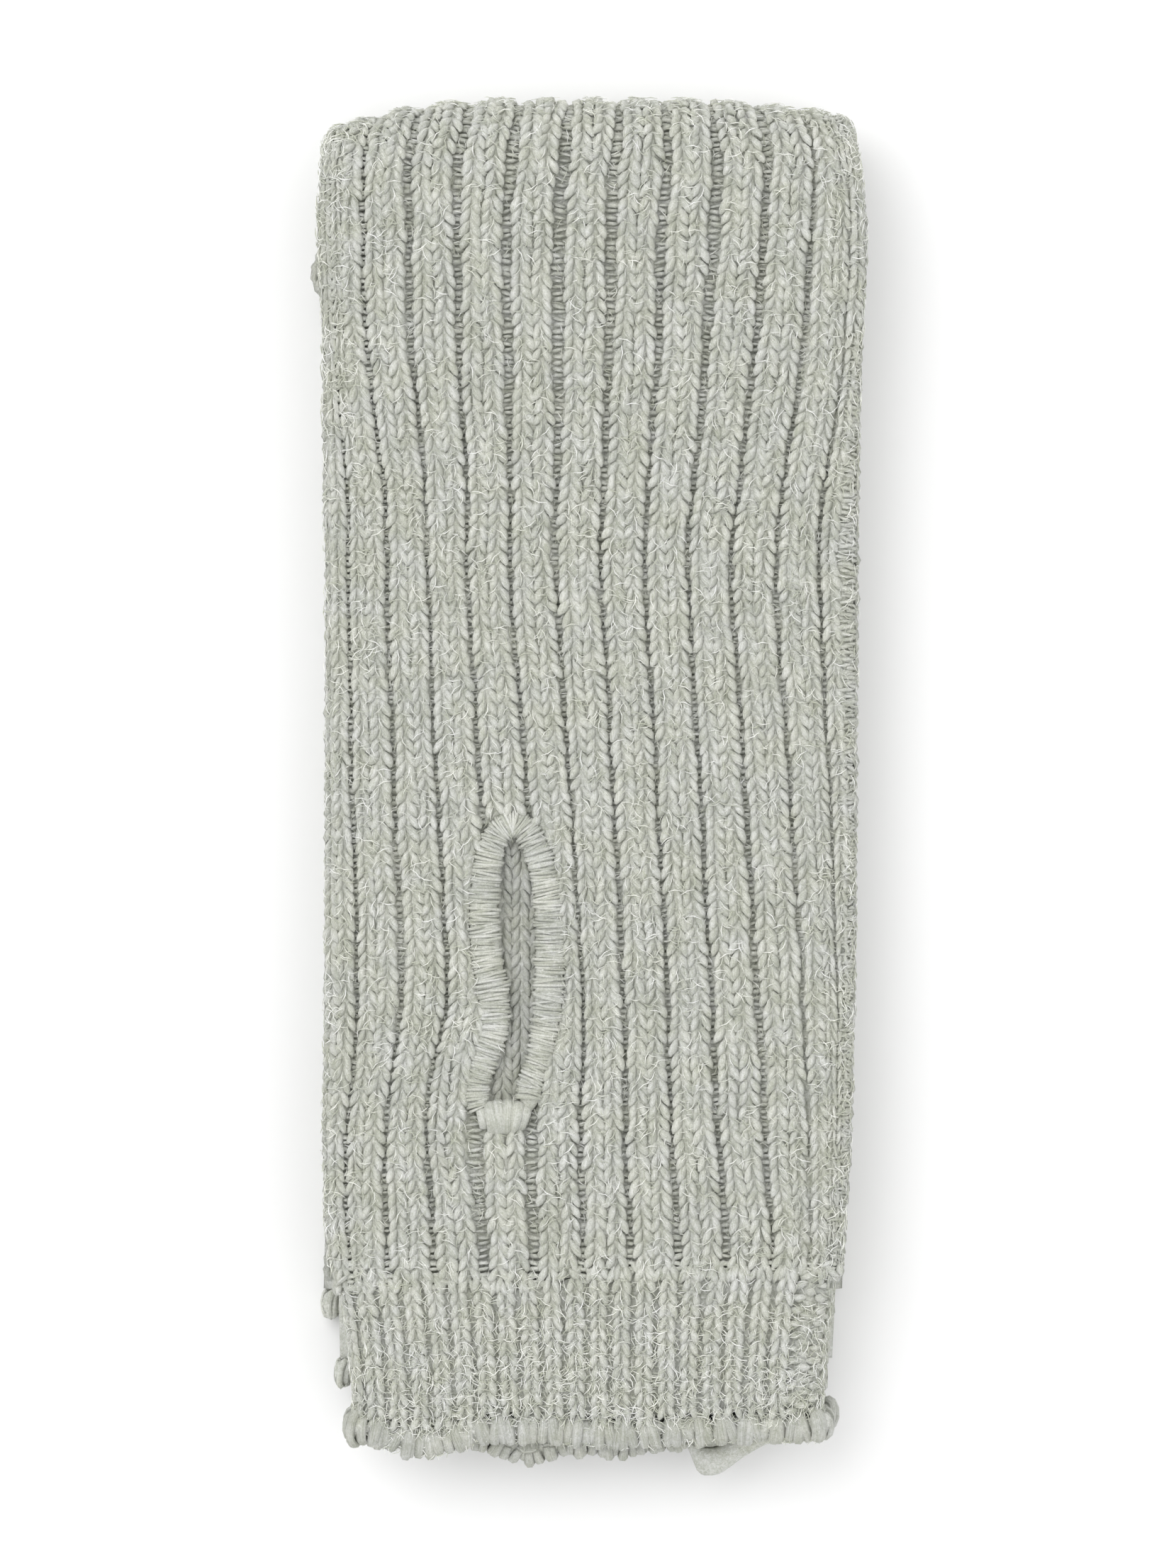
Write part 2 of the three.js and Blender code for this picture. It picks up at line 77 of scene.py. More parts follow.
# y, left side, right side, then the middles of the 13 ribs of the outer foot half
legTable = np.array([
    [162, -63.6, 63.4, -63, -59.5, -49.2, -37, -23.8, -10.6, 1.9, 13.7, 25.7, 36.8, 49.5, 59, 62.8],
    [137, -64.6, 66, -64, -58.8, -49, -37.3, -25.5, -13.5, -0.7, 11.7, 23.7, 36.3, 47.8, 58.5, 65.4],
    [103, -63.5, 64.9, -62.8, -58.1, -47.8, -36.5, -25.4, -13.4, -1, 10.6, 22, 33.6, 45.1, 56.8, 64.2],
    [70, -63.4, 64.1, -61.7, -53.7, -43.6, -34.1, -24.2, -13.4, -2, 8.8, 19.3, 30.1, 40.9, 51.2, 60.5],
    [54, -62.9, 64.1, -61.4, -53.4, -43.3, -34, -24.3, -13.7, -2.5, 8.1, 18.4, 28.6, 39, 49.9, 59.5],
    [5, -63, 63.8, -61, -52.2, -41.3, -31.8, -20.8, -9.8, 0, 10.8, 21, 31.4, 42.3, 53, 61.4],
    [-49, -63.1, 63.4, -60, -50.5, -39, -29, -16.4, -5.7, 2.6, 13.7, 23.8, 34.3, 45.8, 56.2, 62],
    [-66, -63.3, 62.9, -60.8, -51.7, -41.6, -32.8, -18.4, -6.1, 3.3, 13.8, 24.3, 35.5, 47.1, 56.6, 61.8],
    [-83, -63.6, 62.4, -62, -53.6, -43.8, -34.1, -19.9, -7.6, 3.5, 14, 25, 36.2, 47.6, 56.8, 61.4],
    [-108, -62.6, 61, -61.4, -53.6, -42.8, -31.6, -19.3, -6.9, 4.1, 15.4, 26.9, 38.4, 49, 57, 60.2],
    [-116, -61.4, 60, -60.2, -52.8, -42.4, -31.3, -19.2, -7, 3.9, 15, 26.4, 37.8, 48.2, 56, 59.2],
])
# y, left side, right side
outerKneeTable = np.array([[160, -63.6, 63.4], [60, -63.2, 63.4], [-90, -63.4, 62], [-128, -64.4, 61]])
innerTable = np.array([
    [160, -61.5, 61.5], [136, -63.2, 63.6], [124, -66.4, 63.8], [114, -63, 63],
    [40, -62, 62.4], [-90, -62.2, 61.4], [-120, -61.4, 60.4], [-144, -60.9, 59.3]])
outerCuffTable = np.array([[-114, -60.8, 59.6], [-125, -58.6, 57.6], [-142, -56.6, 56], [-156, -56.4, 56.4]])
innerCuffTable = np.array([[-114, -60.4, 60.2], [-142, -56, 57.6], [-156, -54, 57]])
# y, the soft stack's thickness as a share
puffTable = np.array([[166, 1.07], [140, 1.06], [80, 0.98], [10, 0.93], [-60, 0.97], [-112, 1], [-166, 1]])
# x, the middle of a bound edge's roll on the upper wall and on the lower one
outerFootWave = np.array([
    [-60, -150.6, -150.6], [-49, -153.8, -152], [-39, -156, -153], [-25.5, -152.8, -154.4],
    [-15.4, -152.2, -158.2], [-5.5, -152.8, -155.8], [9, -153.8, -156.4], [20, -152.8, -154.4],
    [34, -152.2, -152.4], [50, -152.2, -151.6], [60, -150.4, -150.4]])
innerFootWave = np.array([
    [-58, -149, -149], [-20, -151.6, -151.8], [16, -151.6, -152], [23, -154, -153.6],
    [26, -160.6, -158], [29, -161.6, -158.8], [32, -160.8, -158.2], [37, -157.2, -156],
    [43, -153.8, -153], [58, -149, -149]])
outerKneeWave = np.array([[-60, -124.7, -124.7], [0, -124.9, -124.9], [60, -124.7, -124.7]])
innerKneeWave = np.array([[-60, -140.7, -140.7], [0, -140.9, -140.9], [60, -140.7, -140.7]])
# x, y, half width, height over the tube's middle: the heel opening's edging
heelEdging = np.array([
    [-18.1, -8.4, 3.2, 2.5], [-22.3, -11.6, 3.3, 2.5], [-24.5, -20, 3.5, 2.5], [-25.2, -30, 3.7, 2.5],
    [-24.5, -40, 3.9, 2.5], [-23, -48.7, 3.9, 2.5], [-22.6, -57.1, 3.6, 2.5], [-25.2, -65.6, 3.2, 2.4],
    [-26.7, -71, 3, 2.3], [-26.2, -76, 2.9, 2.3], [-22.6, -79.2, 3.7, 2.9], [-17.6, -78.7, 3.9, 3.2],
    [-14.6, -75, 3.4, 2.8], [-14, -70.6, 3.2, 2.5], [-12, -64.5, 3.1, 2.5], [-10.4, -56.5, 3.4, 2.5],
    [-9.5, -48, 3.8, 2.5], [-9.2, -39, 3.9, 2.5], [-9.4, -30, 3.7, 2.5], [-10.8, -20, 3.5, 2.5],
    [-14, -11.6, 3.3, 2.5]])

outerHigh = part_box("outer_leg")[1]
shiftX = outerHigh.x / mm - legTable[1, 2]   # the frame's origin is the middle of the whole pair
shiftY = outerHigh.y / mm - foldTipY


def between(table, at, column):
    # a smooth curve through one column of a table, read at any places
    rows = table if table[1, 0] > table[0, 0] else table[::-1]
    keys, values = rows[:, 0], rows[:, column]
    at = np.clip(np.asarray(at, float), keys[0], keys[-1])
    i = np.clip(np.searchsorted(keys, at, side="right") - 1, 0, len(keys) - 2)
    low, high = np.maximum(i - 1, 0), np.minimum(i + 2, len(keys) - 1)
    before = (values[i + 1] - values[low]) / (keys[i + 1] - keys[low])
    after = (values[high] - values[i]) / (keys[high] - keys[i])
    step = keys[i + 1] - keys[i]
    t = (at - keys[i]) / step
    bend = step * t * (1 - t) * (before * (1 - t) - after * t)
    return values[i] + (values[i + 1] - values[i]) * t * t * (3 - 2 * t) + bend


def smooth(value, low, high):
    t = np.clip((value - low) / (high - low), 0, 1)
    return t * t * (3 - 2 * t)


# the fold's corners hang back, and the foot end sags
slump = {"startX": 18, "width": 45, "left": 7.2, "right": 4.4, "startY": 112, "sag": 4.5, "sagY": -145, "sagLength": 22}


def xyz(x, y, z):
    return np.stack(np.broadcast_arrays(x, y, z), -1)


def settle(x, y, z):
    # from the evenly folded stack to the soft one, in metres in the frame
    past = np.maximum(0, np.abs(x) - slump["startX"]) / slump["width"]
    drop = np.where(x < 0, slump["left"], slump["right"]) * past ** 2 * smooth(y, slump["startY"], foldTipY)
    sag = slump["sag"] * smooth(slump["sagY"] - y, 0, slump["sagLength"])
    share = between(puffTable, y, 1)
    return xyz(x + shiftX, y - drop + shiftY, z * share - sag) * mm


def placeOnFold(y, turn, radius, x, out):
    angle = np.radians(turn)
    reach = radius + out
    return settle(x, y + reach * np.sin(angle), foldAxisZ + reach * np.cos(angle))


rollArc = crest * math.pi / 2


def roundTube(share, left, right, reach):
    # a flattened tube's outline: 0 is its left side, 0.5 its right one, the upper wall between
    flat = right - left - 2 * crest
    lower = share > 0.5
    arc = (flat + 2 * rollArc) * np.where(lower, 2 - 2 * share, 2 * share)
    over = np.clip(arc - rollArc, 0, flat)
    angle = (arc - rollArc - over) / crest
    wayX, wayOut = np.sin(angle), np.where(lower, -1, 1) * np.cos(angle)
    return left + crest + over + wayX * reach, wayOut * reach


def shareOf(x, left, right):
    full = right - left - 2 * crest + 2 * rollArc
    corner = lambda inset: crest * np.arccos(np.clip(1 - inset / crest, 0, 1))
    flat = (x - left - crest + rollArc) / full / 2
    share = np.where(x < left + crest, corner(x - left) / full / 2, flat)
    return np.where(x > right - crest, 0.5 - corner(right - x) / full / 2, share)


# The way along a leg warmer: the foot half, round the fold, and back along the knee half.
foldRun = math.pi * (outerTurn + 3)
footRun = foldAxisY - cuffSeamY
kneeRun = foldAxisY - outerKneeY
legRun = footRun + foldRun + kneeRun


def stationAt(run):
    run = np.asarray(run, float)
    past = run - footRun
    turn = np.clip(past / foldRun, 0, 1) * 180
    y = np.where(past < 0, cuffSeamY + run, np.where(past < foldRun, foldAxisY, foldAxisY - (past - foldRun)))
    return y, turn


def outerSides(y, turn):
    over = turn / 180
    tableY = y + (legTable[0, 0] - foldAxisY) * smooth(turn, 0, 60)
    left = between(legTable, tableY, 1) * (1 - over) + between(outerKneeTable, y, 1) * over
    right = between(legTable, tableY, 2) * (1 - over) + between(outerKneeTable, y, 2) * over
    return left, right, tableY, over


# the broad rib's knit: pitches in millimetres, and the stitches' own sizes in metres
knit = {
    "rowPitch": 3.0,      # from one row to the next
    "ribWidth": 9.2,      # two wales side by side
    "wale": 2.25,         # from a rib's middle to its wales' middles
    "stitch": {"spread": 2.05 * mm, "close": 0.35 * mm, "rise": 2.15 * mm, "sink": 0.5 * mm, "yarn": 1.04 * mm},
    "bump": {"reach": 1.8 * mm, "arch": 0.55 * mm, "bow": 0.3 * mm, "yarn": 0.7 * mm},
}

ribCount = legTable.shape[1] - 3
ahead = 0.6          # a short way along the knit, for its direction

# the ribs' section: flat tops and narrow gutters on top, round ribs on the fold, shallow ones underneath
ribShape = {"narrowGutter": 0.04, "wideGutter": 0.16, "flatEnd": 0.33, "gutterEnd": 0.53, "flatPower": 1.2,
            "domeStart": 25, "domeEnd": 70, "dome": 0.8, "domePower": 2.4,
            "pressStart": 80, "pressEnd": 158, "press": 0.7, "leastPitch": 3.5, "pitchSpan": 6.5, "least": 0.3}


def wallPoint(run, rib, across, lift):
    # a point of the outer leg warmer's wall: along it, which rib, where across the rib (-0.5..0.5)
    run, rib, across, lift = np.broadcast_arrays(*[np.asarray(v, float) for v in (run, rib, across, lift)])
    rib = rib.astype(int)
    y, turn = stationAt(run)
    left, right, tableY, over = outerSides(y, turn)
    middles = np.empty((ribCount,) + run.shape)
    for i in range(ribCount):
        foot = shareOf(between(legTable, tableY, 3 + i), left, right)
        middles[i] = foot * (1 - over) + (i + 0.5) / ribCount / 2 * over
    pick = lambda index: np.take_along_axis(middles, index[None], 0)[0]
    middle = pick(rib)
    lowEdge = np.where(rib == 0, 0, (pick(np.maximum(rib - 1, 0)) + middle) / 2)
    highEdge = np.where(rib == ribCount - 1, 0.5, (pick(np.minimum(rib + 1, ribCount - 1)) + middle) / 2)
    share = middle + (np.where(across < 0, lowEdge, highEdge) - middle) * 2 * np.abs(across)
    outer = (rib == 0) & (across < 0) | (rib == ribCount - 1) & (across > 0)
    pitch = (highEdge - lowEdge) * 2 * (right - left + 2 * rollArc - 2 * crest)
    gutter = np.clip(0.5 - 0.5 * knit["ribWidth"] / pitch, ribShape["narrowGutter"], ribShape["wideGutter"])
    flatEnd, gutterEnd = ribShape["flatEnd"] - gutter, ribShape["gutterEnd"] - gutter
    flatTop = smooth(np.abs(across), flatEnd, gutterEnd) ** ribShape["flatPower"]
    dome = smooth(turn, ribShape["domeStart"], ribShape["domeEnd"]) * ribShape["dome"]
    deep = np.where(outer, 0, flatTop + ((2 * np.abs(across)) ** ribShape["domePower"] - flatTop) * dome)
    height = 1 - ribShape["press"] * smooth(turn, ribShape["pressStart"], ribShape["pressEnd"])
    height = height * np.clip((pitch - ribShape["leastPitch"]) / ribShape["pitchSpan"], ribShape["least"], 1)
    x, out = roundTube(share, left, right, crest - deep * ribDepth * height + lift)
    return placeOnFold(y, turn, outerTurn, x, out)


seamStep = {"drop": 3.3, "left": -16, "right": 10, "lap": 1.3}


def seamDrop(x):
    # how much lower the fine rib starts at the left than at the right, in millimetres
    return seamStep["drop"] * (1 - smooth(x, seamStep["left"], seamStep["right"]))


def unit(v):
    return v / np.maximum(np.linalg.norm(v, axis=-1, keepdims=True), 1e-12)


# Meshes

def meshPiece(name, points, faces, material):
    data = bpy.data.meshes.new(name)
    data.from_pydata(np.asarray(points).tolist(), [], faces)
    data.materials.append(material)
    data.polygons.foreach_set("use_smooth", [True] * len(data.polygons))
    data.update()
    piece = bpy.data.objects.new(name, data)
    bpy.context.scene.collection.objects.link(piece)
    return piece


def skinFaces(rings, sides, closed, ends):
    faces = []
    for i in range(rings if closed else rings - 1):
        a, b = i * sides, (i + 1) % rings * sides
        faces += [(a + k, a + (k + 1) % sides, b + (k + 1) % sides, b + k) for k in range(sides)]
    if ends == "fan":
        faces.append(tuple(range(sides)))
        faces.append(tuple(range((rings - 1) * sides, rings * sides)))
    if ends == "strip":       # both ends of a wall with as many points inside as outside
        half = sides // 2
        for start in (0, (rings - 1) * sides):
            faces += [(start + k, start + k + 1, start + sides - 2 - k, start + sides - 1 - k)
                      for k in range(half - 1)]
    return faces


def skinPiece(name, rings, material, closed=False, ends=None):
    rings = np.asarray(rings)
    count, sides = rings.shape[:2]
    piece = meshPiece(name, rings.reshape(-1, 3), skinFaces(count, sides, closed, ends), material)
    faceOut(piece.data)
    return piece


def faceOut(data):
    work = bmesh.new()
    work.from_mesh(data)
    bmesh.ops.recalc_face_normals(work, faces=work.faces)
    work.to_mesh(data)
    work.free()


# Geometry Nodes: one small shape, set on points that carry its place, turn and size

def addNode(tree, kind, settings=None, sockets=None):
    node = tree.nodes.new(kind)
    for key, value in (settings or {}).items():
        setattr(node, key, value)
    for key, value in (sockets or {}).items():
        if isinstance(value, bpy.types.NodeSocket):
            tree.links.new(value, node.inputs[key])
        else:
            node.inputs[key].default_value = value
    return node


def named(tree, kind, name):
    return addNode(tree, "GeometryNodeInputNamedAttribute", {"data_type": kind}, {"Name": name}).outputs[0]


def stored(tree, geometry, name, value):
    node = addNode(tree, "GeometryNodeStoreNamedAttribute", {"data_type": "FLOAT", "domain": "POINT"},
                   {"Geometry": geometry, "Name": name, "Value": value})
    return node.outputs[0]


def maths(tree, operation, a, b=None):
    sockets = {0: a} if b is None else {0: a, 1: b}
    return addNode(tree, "ShaderNodeMath", {"operation": operation}, sockets).outputs[0]


def times(tree, a, b):
    return maths(tree, "MULTIPLY", a, b)


def plus(tree, a, b):
    return maths(tree, "ADD", a, b)


def vector(tree, x, y, z):
    return addNode(tree, "ShaderNodeCombineXYZ", None, {0: x, 1: y, 2: z}).outputs[0]


def yarn(tree, path, radius, sides, fattest=0.5, ends=0.38, caps=True):
    # sweeps a yarn along a path, thinner at its ends, with its own coordinates on it
    along = addNode(tree, "GeometryNodeSplineParameter").outputs["Factor"]
    path = stored(tree, path, "yarnAlong", along)
    swell = maths(tree, "POWER", along, math.log(0.5) / math.log(fattest))
    bulge = maths(tree, "SINE", times(tree, swell, math.pi))
    taper = plus(tree, times(tree, bulge, 1 - ends), ends)
    profile = addNode(tree, "GeometryNodeCurvePrimitiveCircle", None, {"Resolution": sides, "Radius": 1.0})
    profile = stored(tree, profile.outputs[0], "yarnAround",
                     addNode(tree, "GeometryNodeSplineParameter").outputs["Factor"])
    return addNode(tree, "GeometryNodeCurveToMesh", None,
                   {"Curve": path, "Profile Curve": profile, "Fill Caps": caps,
                    "Scale": times(tree, taper, radius)}).outputs[0]


def bent(tree, start, middle, end, steps):
    return addNode(tree, "GeometryNodeCurveQuadraticBezier", None,
                   {"Resolution": steps, "Start": start, "Middle": middle, "End": end}).outputs[0]


def stitchShape(tree, sizes, steps, sides):
    # two legs that lean together towards the fold, their lower ends over the stitch below
    legs = []
    for way in (-1, 1):
        low = vector(tree, times(tree, sizes["spread"], way),
                     times(tree, sizes["rise"], -1.0), times(tree, sizes["sink"], -0.5))
        halfway = times(tree, plus(tree, sizes["spread"], sizes["close"]), way * 0.58)
        knee = vector(tree, halfway, times(tree, sizes["rise"], -0.15),
                      times(tree, sizes["sink"], 1.6))
        top = vector(tree, times(tree, sizes["close"], way), sizes["rise"],
                     times(tree, sizes["sink"], -1.5))
        legs.append(yarn(tree, bent(tree, low, knee, top, steps), sizes["yarn"], sides, 0.42, 0.3))
    join = tree.nodes.new("GeometryNodeJoinGeometry")
    for leg in legs:
        tree.links.new(leg, join.inputs[0])
    return join.outputs[0]


def bumpShape(tree, sizes, steps, sides):
    # a short arched yarn across a wale, as on a knit's purl side
    reach = times(tree, sizes["reach"], -1.0)
    drop = times(tree, sizes["arch"], -1.0)
    path = bent(tree, vector(tree, reach, 0.0, drop), vector(tree, 0.0, sizes["bow"], sizes["arch"]),
                vector(tree, sizes["reach"], 0.0, drop), steps)
    return yarn(tree, path, sizes["yarn"], sides)


def fibreShape(tree, sizes, steps, sides):
    # one loose, bent fibre
    reach = times(tree, sizes["reach"], -1.0)
    path = bent(tree, vector(tree, reach, 0.0, 0.0), vector(tree, 0.0, sizes["bow"], sizes["arch"]),
                vector(tree, sizes["reach"], 0.0, 0.0), 4)
    path = addNode(tree, "GeometryNodeResampleCurve", None, {"Curve": path, "Count": steps}).outputs[0]
    return yarn(tree, path, sizes["yarn"], sides, 0.4, 0.4, False)


wrapSweep = 2 * math.pi * 0.98


def wrapShape(tree, sizes, steps, sides):
    # a turn of yarn over a roll, which starts and ends under it
    arc = addNode(tree, "GeometryNodeCurveArc", {"mode": "RADIUS"},
                  {"Resolution": steps, "Radius": 1.0, "Start Angle": -math.pi / 2, "Sweep Angle": sizes["sweep"]})
    upright = addNode(tree, "GeometryNodeTransform", None,
                      {"Geometry": arc.outputs[0], "Rotation": (math.pi / 2, 0, math.pi / 2)})
    return yarn(tree, upright.outputs[0], sizes["yarn"], sides, 0.5, 0.7)


def scatter(name, shape, sizes, carriers, material, steps=5, sides=5):
    # sets a shape on carriers and returns it as one plain mesh piece
    tree = bpy.data.node_groups.new(name + "Nodes", "GeometryNodeTree")
    tree.is_modifier = True
    face = tree.interface
    face.new_socket("Geometry", in_out="INPUT", socket_type="NodeSocketGeometry")
    sockets = {key: face.new_socket(key, in_out="INPUT", socket_type="NodeSocketFloat") for key in sizes}
    finish = face.new_socket("material", in_out="INPUT", socket_type="NodeSocketMaterial")
    face.new_socket("Geometry", in_out="OUTPUT", socket_type="NodeSocketGeometry")
    start = tree.nodes.new("NodeGroupInput")
    given = {key: start.outputs[key] for key in sizes}
    turn = addNode(tree, "FunctionNodeAxesToRotation", {"primary_axis": "Z", "secondary_axis": "Y"},
                   {0: named(tree, "FLOAT_VECTOR", "up"), 1: named(tree, "FLOAT_VECTOR", "along")})
    points = addNode(tree, "GeometryNodeMeshToPoints", None, {"Mesh": start.outputs["Geometry"]})
    placed = addNode(tree, "GeometryNodeInstanceOnPoints", None,
                     {"Points": points.outputs[0], "Instance": shape(tree, given, steps, sides),
                      "Rotation": turn.outputs[0], "Scale": named(tree, "FLOAT_VECTOR", "size")})
    real = addNode(tree, "GeometryNodeRealizeInstances", None, {"Geometry": placed.outputs[0]})
    even = addNode(tree, "GeometryNodeSetShadeSmooth", None, {"Geometry": real.outputs[0]})
    coat = addNode(tree, "GeometryNodeSetMaterial", None,
                   {"Geometry": even.outputs[0], "Material": start.outputs["material"]})
    end = tree.nodes.new("NodeGroupOutput")
    tree.links.new(coat.outputs[0], end.inputs[0])

    data = bpy.data.meshes.new(name + "Carriers")
    data.from_pydata(carriers["place"].tolist(), [], [])
    for key in ("up", "along", "size"):
        spot = data.attributes.new(key, "FLOAT_VECTOR", "POINT")
        spot.data.foreach_set("vector", np.ascontiguousarray(carriers[key], np.float32).ravel())
    shade = data.attributes.new("shade", "FLOAT", "POINT")
    shade.data.foreach_set("value", np.ascontiguousarray(carriers["shade"], np.float32))
    holder = bpy.data.objects.new(name + "Carriers", data)
    bpy.context.scene.collection.objects.link(holder)
    modifier = holder.modifiers.new("shapes", "NODES")
    modifier.node_group = tree
    for key, value in sizes.items():
        modifier[sockets[key].identifier] = value
    modifier[finish.identifier] = material
    depsgraph = bpy.context.evaluated_depsgraph_get()
    mesh = bpy.data.meshes.new_from_object(holder.evaluated_get(depsgraph))
    mesh.name = name
    bpy.data.objects.remove(holder)
    piece = bpy.data.objects.new(name, mesh)
    bpy.context.scene.collection.objects.link(piece)
    for key in ("up", "along", "size"):
        if key in mesh.attributes:
            mesh.attributes.remove(mesh.attributes[key])
    if not mesh.materials:
        mesh.materials.append(material)
    mesh.calc_loop_triangles()
    print("made", name, len(carriers["place"]), "places,", len(mesh.loop_triangles), "triangles")
    return piece


def carry(place, across, along, size, seed, jitter=0.08, tilt=0.075):
    # carriers with a hand-knit unevenness
    place, across, along, size = (np.reshape(v, (-1, 3)) for v in (place, unit(across), unit(along), size))
    rng = np.random.default_rng(seed)
    count = len(place)
    along = unit(along + rng.normal(0, tilt, (count, 3)))
    up = unit(np.cross(across, along) + rng.normal(0, tilt, (count, 3)))
    size = size * (1 + rng.normal(0, jitter, (count, 3)))
    return {"place": place + rng.normal(0, 0.07 * mm, (count, 3)), "along": along, "up": up, "size": size,
            "shade": rng.random(count)}


def joined(*groups):
    return {key: np.concatenate([group[key] for group in groups]) for key in groups[0]}


def kept(group, mask):
    return {key: value[mask] for key, value in group.items()}


# Materials

wool = {
    "pale": (0.90, 0.905, 0.865),    # light fibres of the heather
    "middle": (0.735, 0.745, 0.695),  # its grey ones
    "deep": (0.52, 0.54, 0.455),     # its darker, greener ones
    "warm": (1.0, 1.0, 0.965),       # patches of a yellower hue
    "cool": (0.99, 0.993, 1.0),      # and of a bluer one
    "fibreLength": 0.9,
    "fibreCount": 9.0,
    "fibreBump": 0.65,
    "sheen": 0.35,
    "roughness": 0.92,
    "shares": {"fibres": 0.7, "heather": 0.45, "hairs": 0.85},   # how much each noise mixes the colours
    "ramp": (0.33, 0.67),
    "patch": (0.4, 0.6),
}


def noise(tree, place, scale, detail, **more):
    sockets = {"Vector": place, "Scale": scale, "Detail": detail, **more}
    return addNode(tree, "ShaderNodeTexNoise", None, sockets).outputs["Fac"]


def woolMaterial(name, tint=1.0, onYarn=True, depth=1.0, shadeShare=0.06):
    material = bpy.data.materials.new(name)
    material.use_nodes = True
    tree = material.node_tree
    shader = tree.nodes["Principled BSDF"]
    shader.inputs["Roughness"].default_value = wool["roughness"]
    shader.inputs["Specular IOR Level"].default_value = 0.18
    shader.inputs["Sheen Weight"].default_value = wool["sheen"]
    shader.inputs["Sheen Roughness"].default_value = 0.55
    shader.inputs["Sheen Tint"].default_value = (0.95, 0.96, 0.92, 1)
    place = addNode(tree, "ShaderNodeTexCoord").outputs["Object"]
    if onYarn:
        # fibres run along the yarn with a slow twist round it
        along = addNode(tree, "ShaderNodeAttribute", {"attribute_name": "yarnAlong"}).outputs["Fac"]
        around = addNode(tree, "ShaderNodeAttribute", {"attribute_name": "yarnAround"}).outputs["Fac"]
        shade = addNode(tree, "ShaderNodeAttribute", {"attribute_name": "shade"}).outputs["Fac"]
        twist = plus(tree, times(tree, around, wool["fibreCount"]),
                      times(tree, along, 2.2))
        fibreAt = vector(tree, times(tree, along, wool["fibreLength"]), twist,
                         times(tree, shade, 40.0))
        fibres = noise(tree, fibreAt, 2.4, 4.0, Roughness=0.62)
    else:
        shade = 0.5
        fibres = noise(tree, place, 1500.0, 4.0, Roughness=0.7)
    heather = noise(tree, place, 220.0, 3.0, Roughness=0.6)
    hairs = noise(tree, place, 1300.0, 4.0, Roughness=0.75, Distortion=1.6)
    mixed = 0.5
    shares = [*wool["shares"].values(), shadeShare]
    for part, share in zip((fibres, heather, hairs, shade), shares):
        mixed = plus(tree, mixed, times(tree, maths(tree, "SUBTRACT", part, 0.5), share))
    relief = plus(tree, fibres, times(tree, hairs, 0.9))
    ramp = addNode(tree, "ShaderNodeValToRGB", None, {"Fac": mixed})
    low, high = ramp.color_ramp.elements
    half = ramp.color_ramp.elements.new(0.5)
    low.position, high.position = wool["ramp"]
    for element, key in ((low, "deep"), (half, "middle"), (high, "pale")):
        element.color = tuple(c * tint for c in wool[key]) + (1,)
    hue = addNode(tree, "ShaderNodeValToRGB", None, {"Fac": noise(tree, place, 130.0, 3.0)})
    for element, position, color in zip(hue.color_ramp.elements, wool["patch"], (wool["warm"], wool["cool"])):
        element.position, element.color = position, color + (1,)
    both = addNode(tree, "ShaderNodeMix", {"data_type": "RGBA", "blend_type": "MULTIPLY"},
                   {0: 1.0, 6: ramp.outputs["Color"], 7: hue.outputs["Color"]})
    tree.links.new(both.outputs[2], shader.inputs["Base Color"])
    bump = addNode(tree, "ShaderNodeBump", None,
                   {"Strength": wool["fibreBump"] * depth, "Distance": 0.0006, "Height": relief})
    tree.links.new(bump.outputs["Normal"], shader.inputs["Normal"])
    return material


stitchWool = woolMaterial("stitchWool", tint=0.87)
cuffWool = woolMaterial("cuffWool", tint=0.86)
edgeWool = woolMaterial("edgeWool", tint=0.71)
kneeWool = woolMaterial("kneeWool", tint=0.92)
whippedWool = woolMaterial("whippedWool", tint=0.82, depth=0.7, shadeShare=0.2)
groundWool = woolMaterial("groundWool", tint=0.84, onYarn=False)
# a darker copy of the wool: painted shade on the lower layers' sides, the inner knee end and the cuffs' walls between
# their stitches
shadedWool = woolMaterial("shadedWool", tint=0.78, onYarn=False)
bobbleWool = woolMaterial("bobbleWool", tint=0.82, shadeShare=0.0)
# a darker copy of the wool: painted shade on the knit seen down through the heel opening
shadedFloorWool = woolMaterial("shadedFloorWool", tint=0.68)
# a lighter copy of the wool: painted light on the bumps down in the gutters, against their shade
litGutterWool = woolMaterial("litGutterWool", tint=1.0)
fuzzWool = woolMaterial("fuzzWool", tint=1.06, depth=0.0, shadeShare=0.7)


# The heel opening's edging: its middle line, evenly spaced, with outward direction and sizes

def edgingLine(count):
    rows = np.vstack([heelEdging, heelEdging[:1]])
    t = np.linspace(0, len(heelEdging), 60 * len(heelEdging), endpoint=False)
    i = t.astype(int)
    f = (t - i)[:, None]
    p = [heelEdging[(i + k) % len(heelEdging)] for k in (-1, 0, 1, 2)]
    dense = 0.5 * (2 * p[1] + (p[2] - p[0]) * f + (2 * p[0] - 5 * p[1] + 4 * p[2] - p[3]) * f ** 2
                   + (3 * p[1] - p[0] - 3 * p[2] + p[3]) * f ** 3)
    step = np.linalg.norm(np.roll(dense[:, :2], -1, 0) - dense[:, :2], axis=1)
    walk = np.concatenate([[0], np.cumsum(step)])
    at = np.linspace(0, walk[-1], count, endpoint=False)
    ring = np.vstack([dense, dense[:1]])
    line = np.stack([np.interp(at, walk, ring[:, k]) for k in range(4)], -1)
    along = unit(np.roll(line[:, :2], -1, 0) - np.roll(line[:, :2], 1, 0))
    outward = np.stack([along[:, 1], -along[:, 0]], -1)
    return line, along, outward, walk[-1]


def edgingRim(count, grow):
    # the opening's rim, drawn in round the bobble
    line, _, outward, _ = edgingLine(count)
    half = line[:, 2] + grow - 2.2 * smooth(-line[:, 1], 74, 78)
    return line[:, :2] + outward * half[:, None]


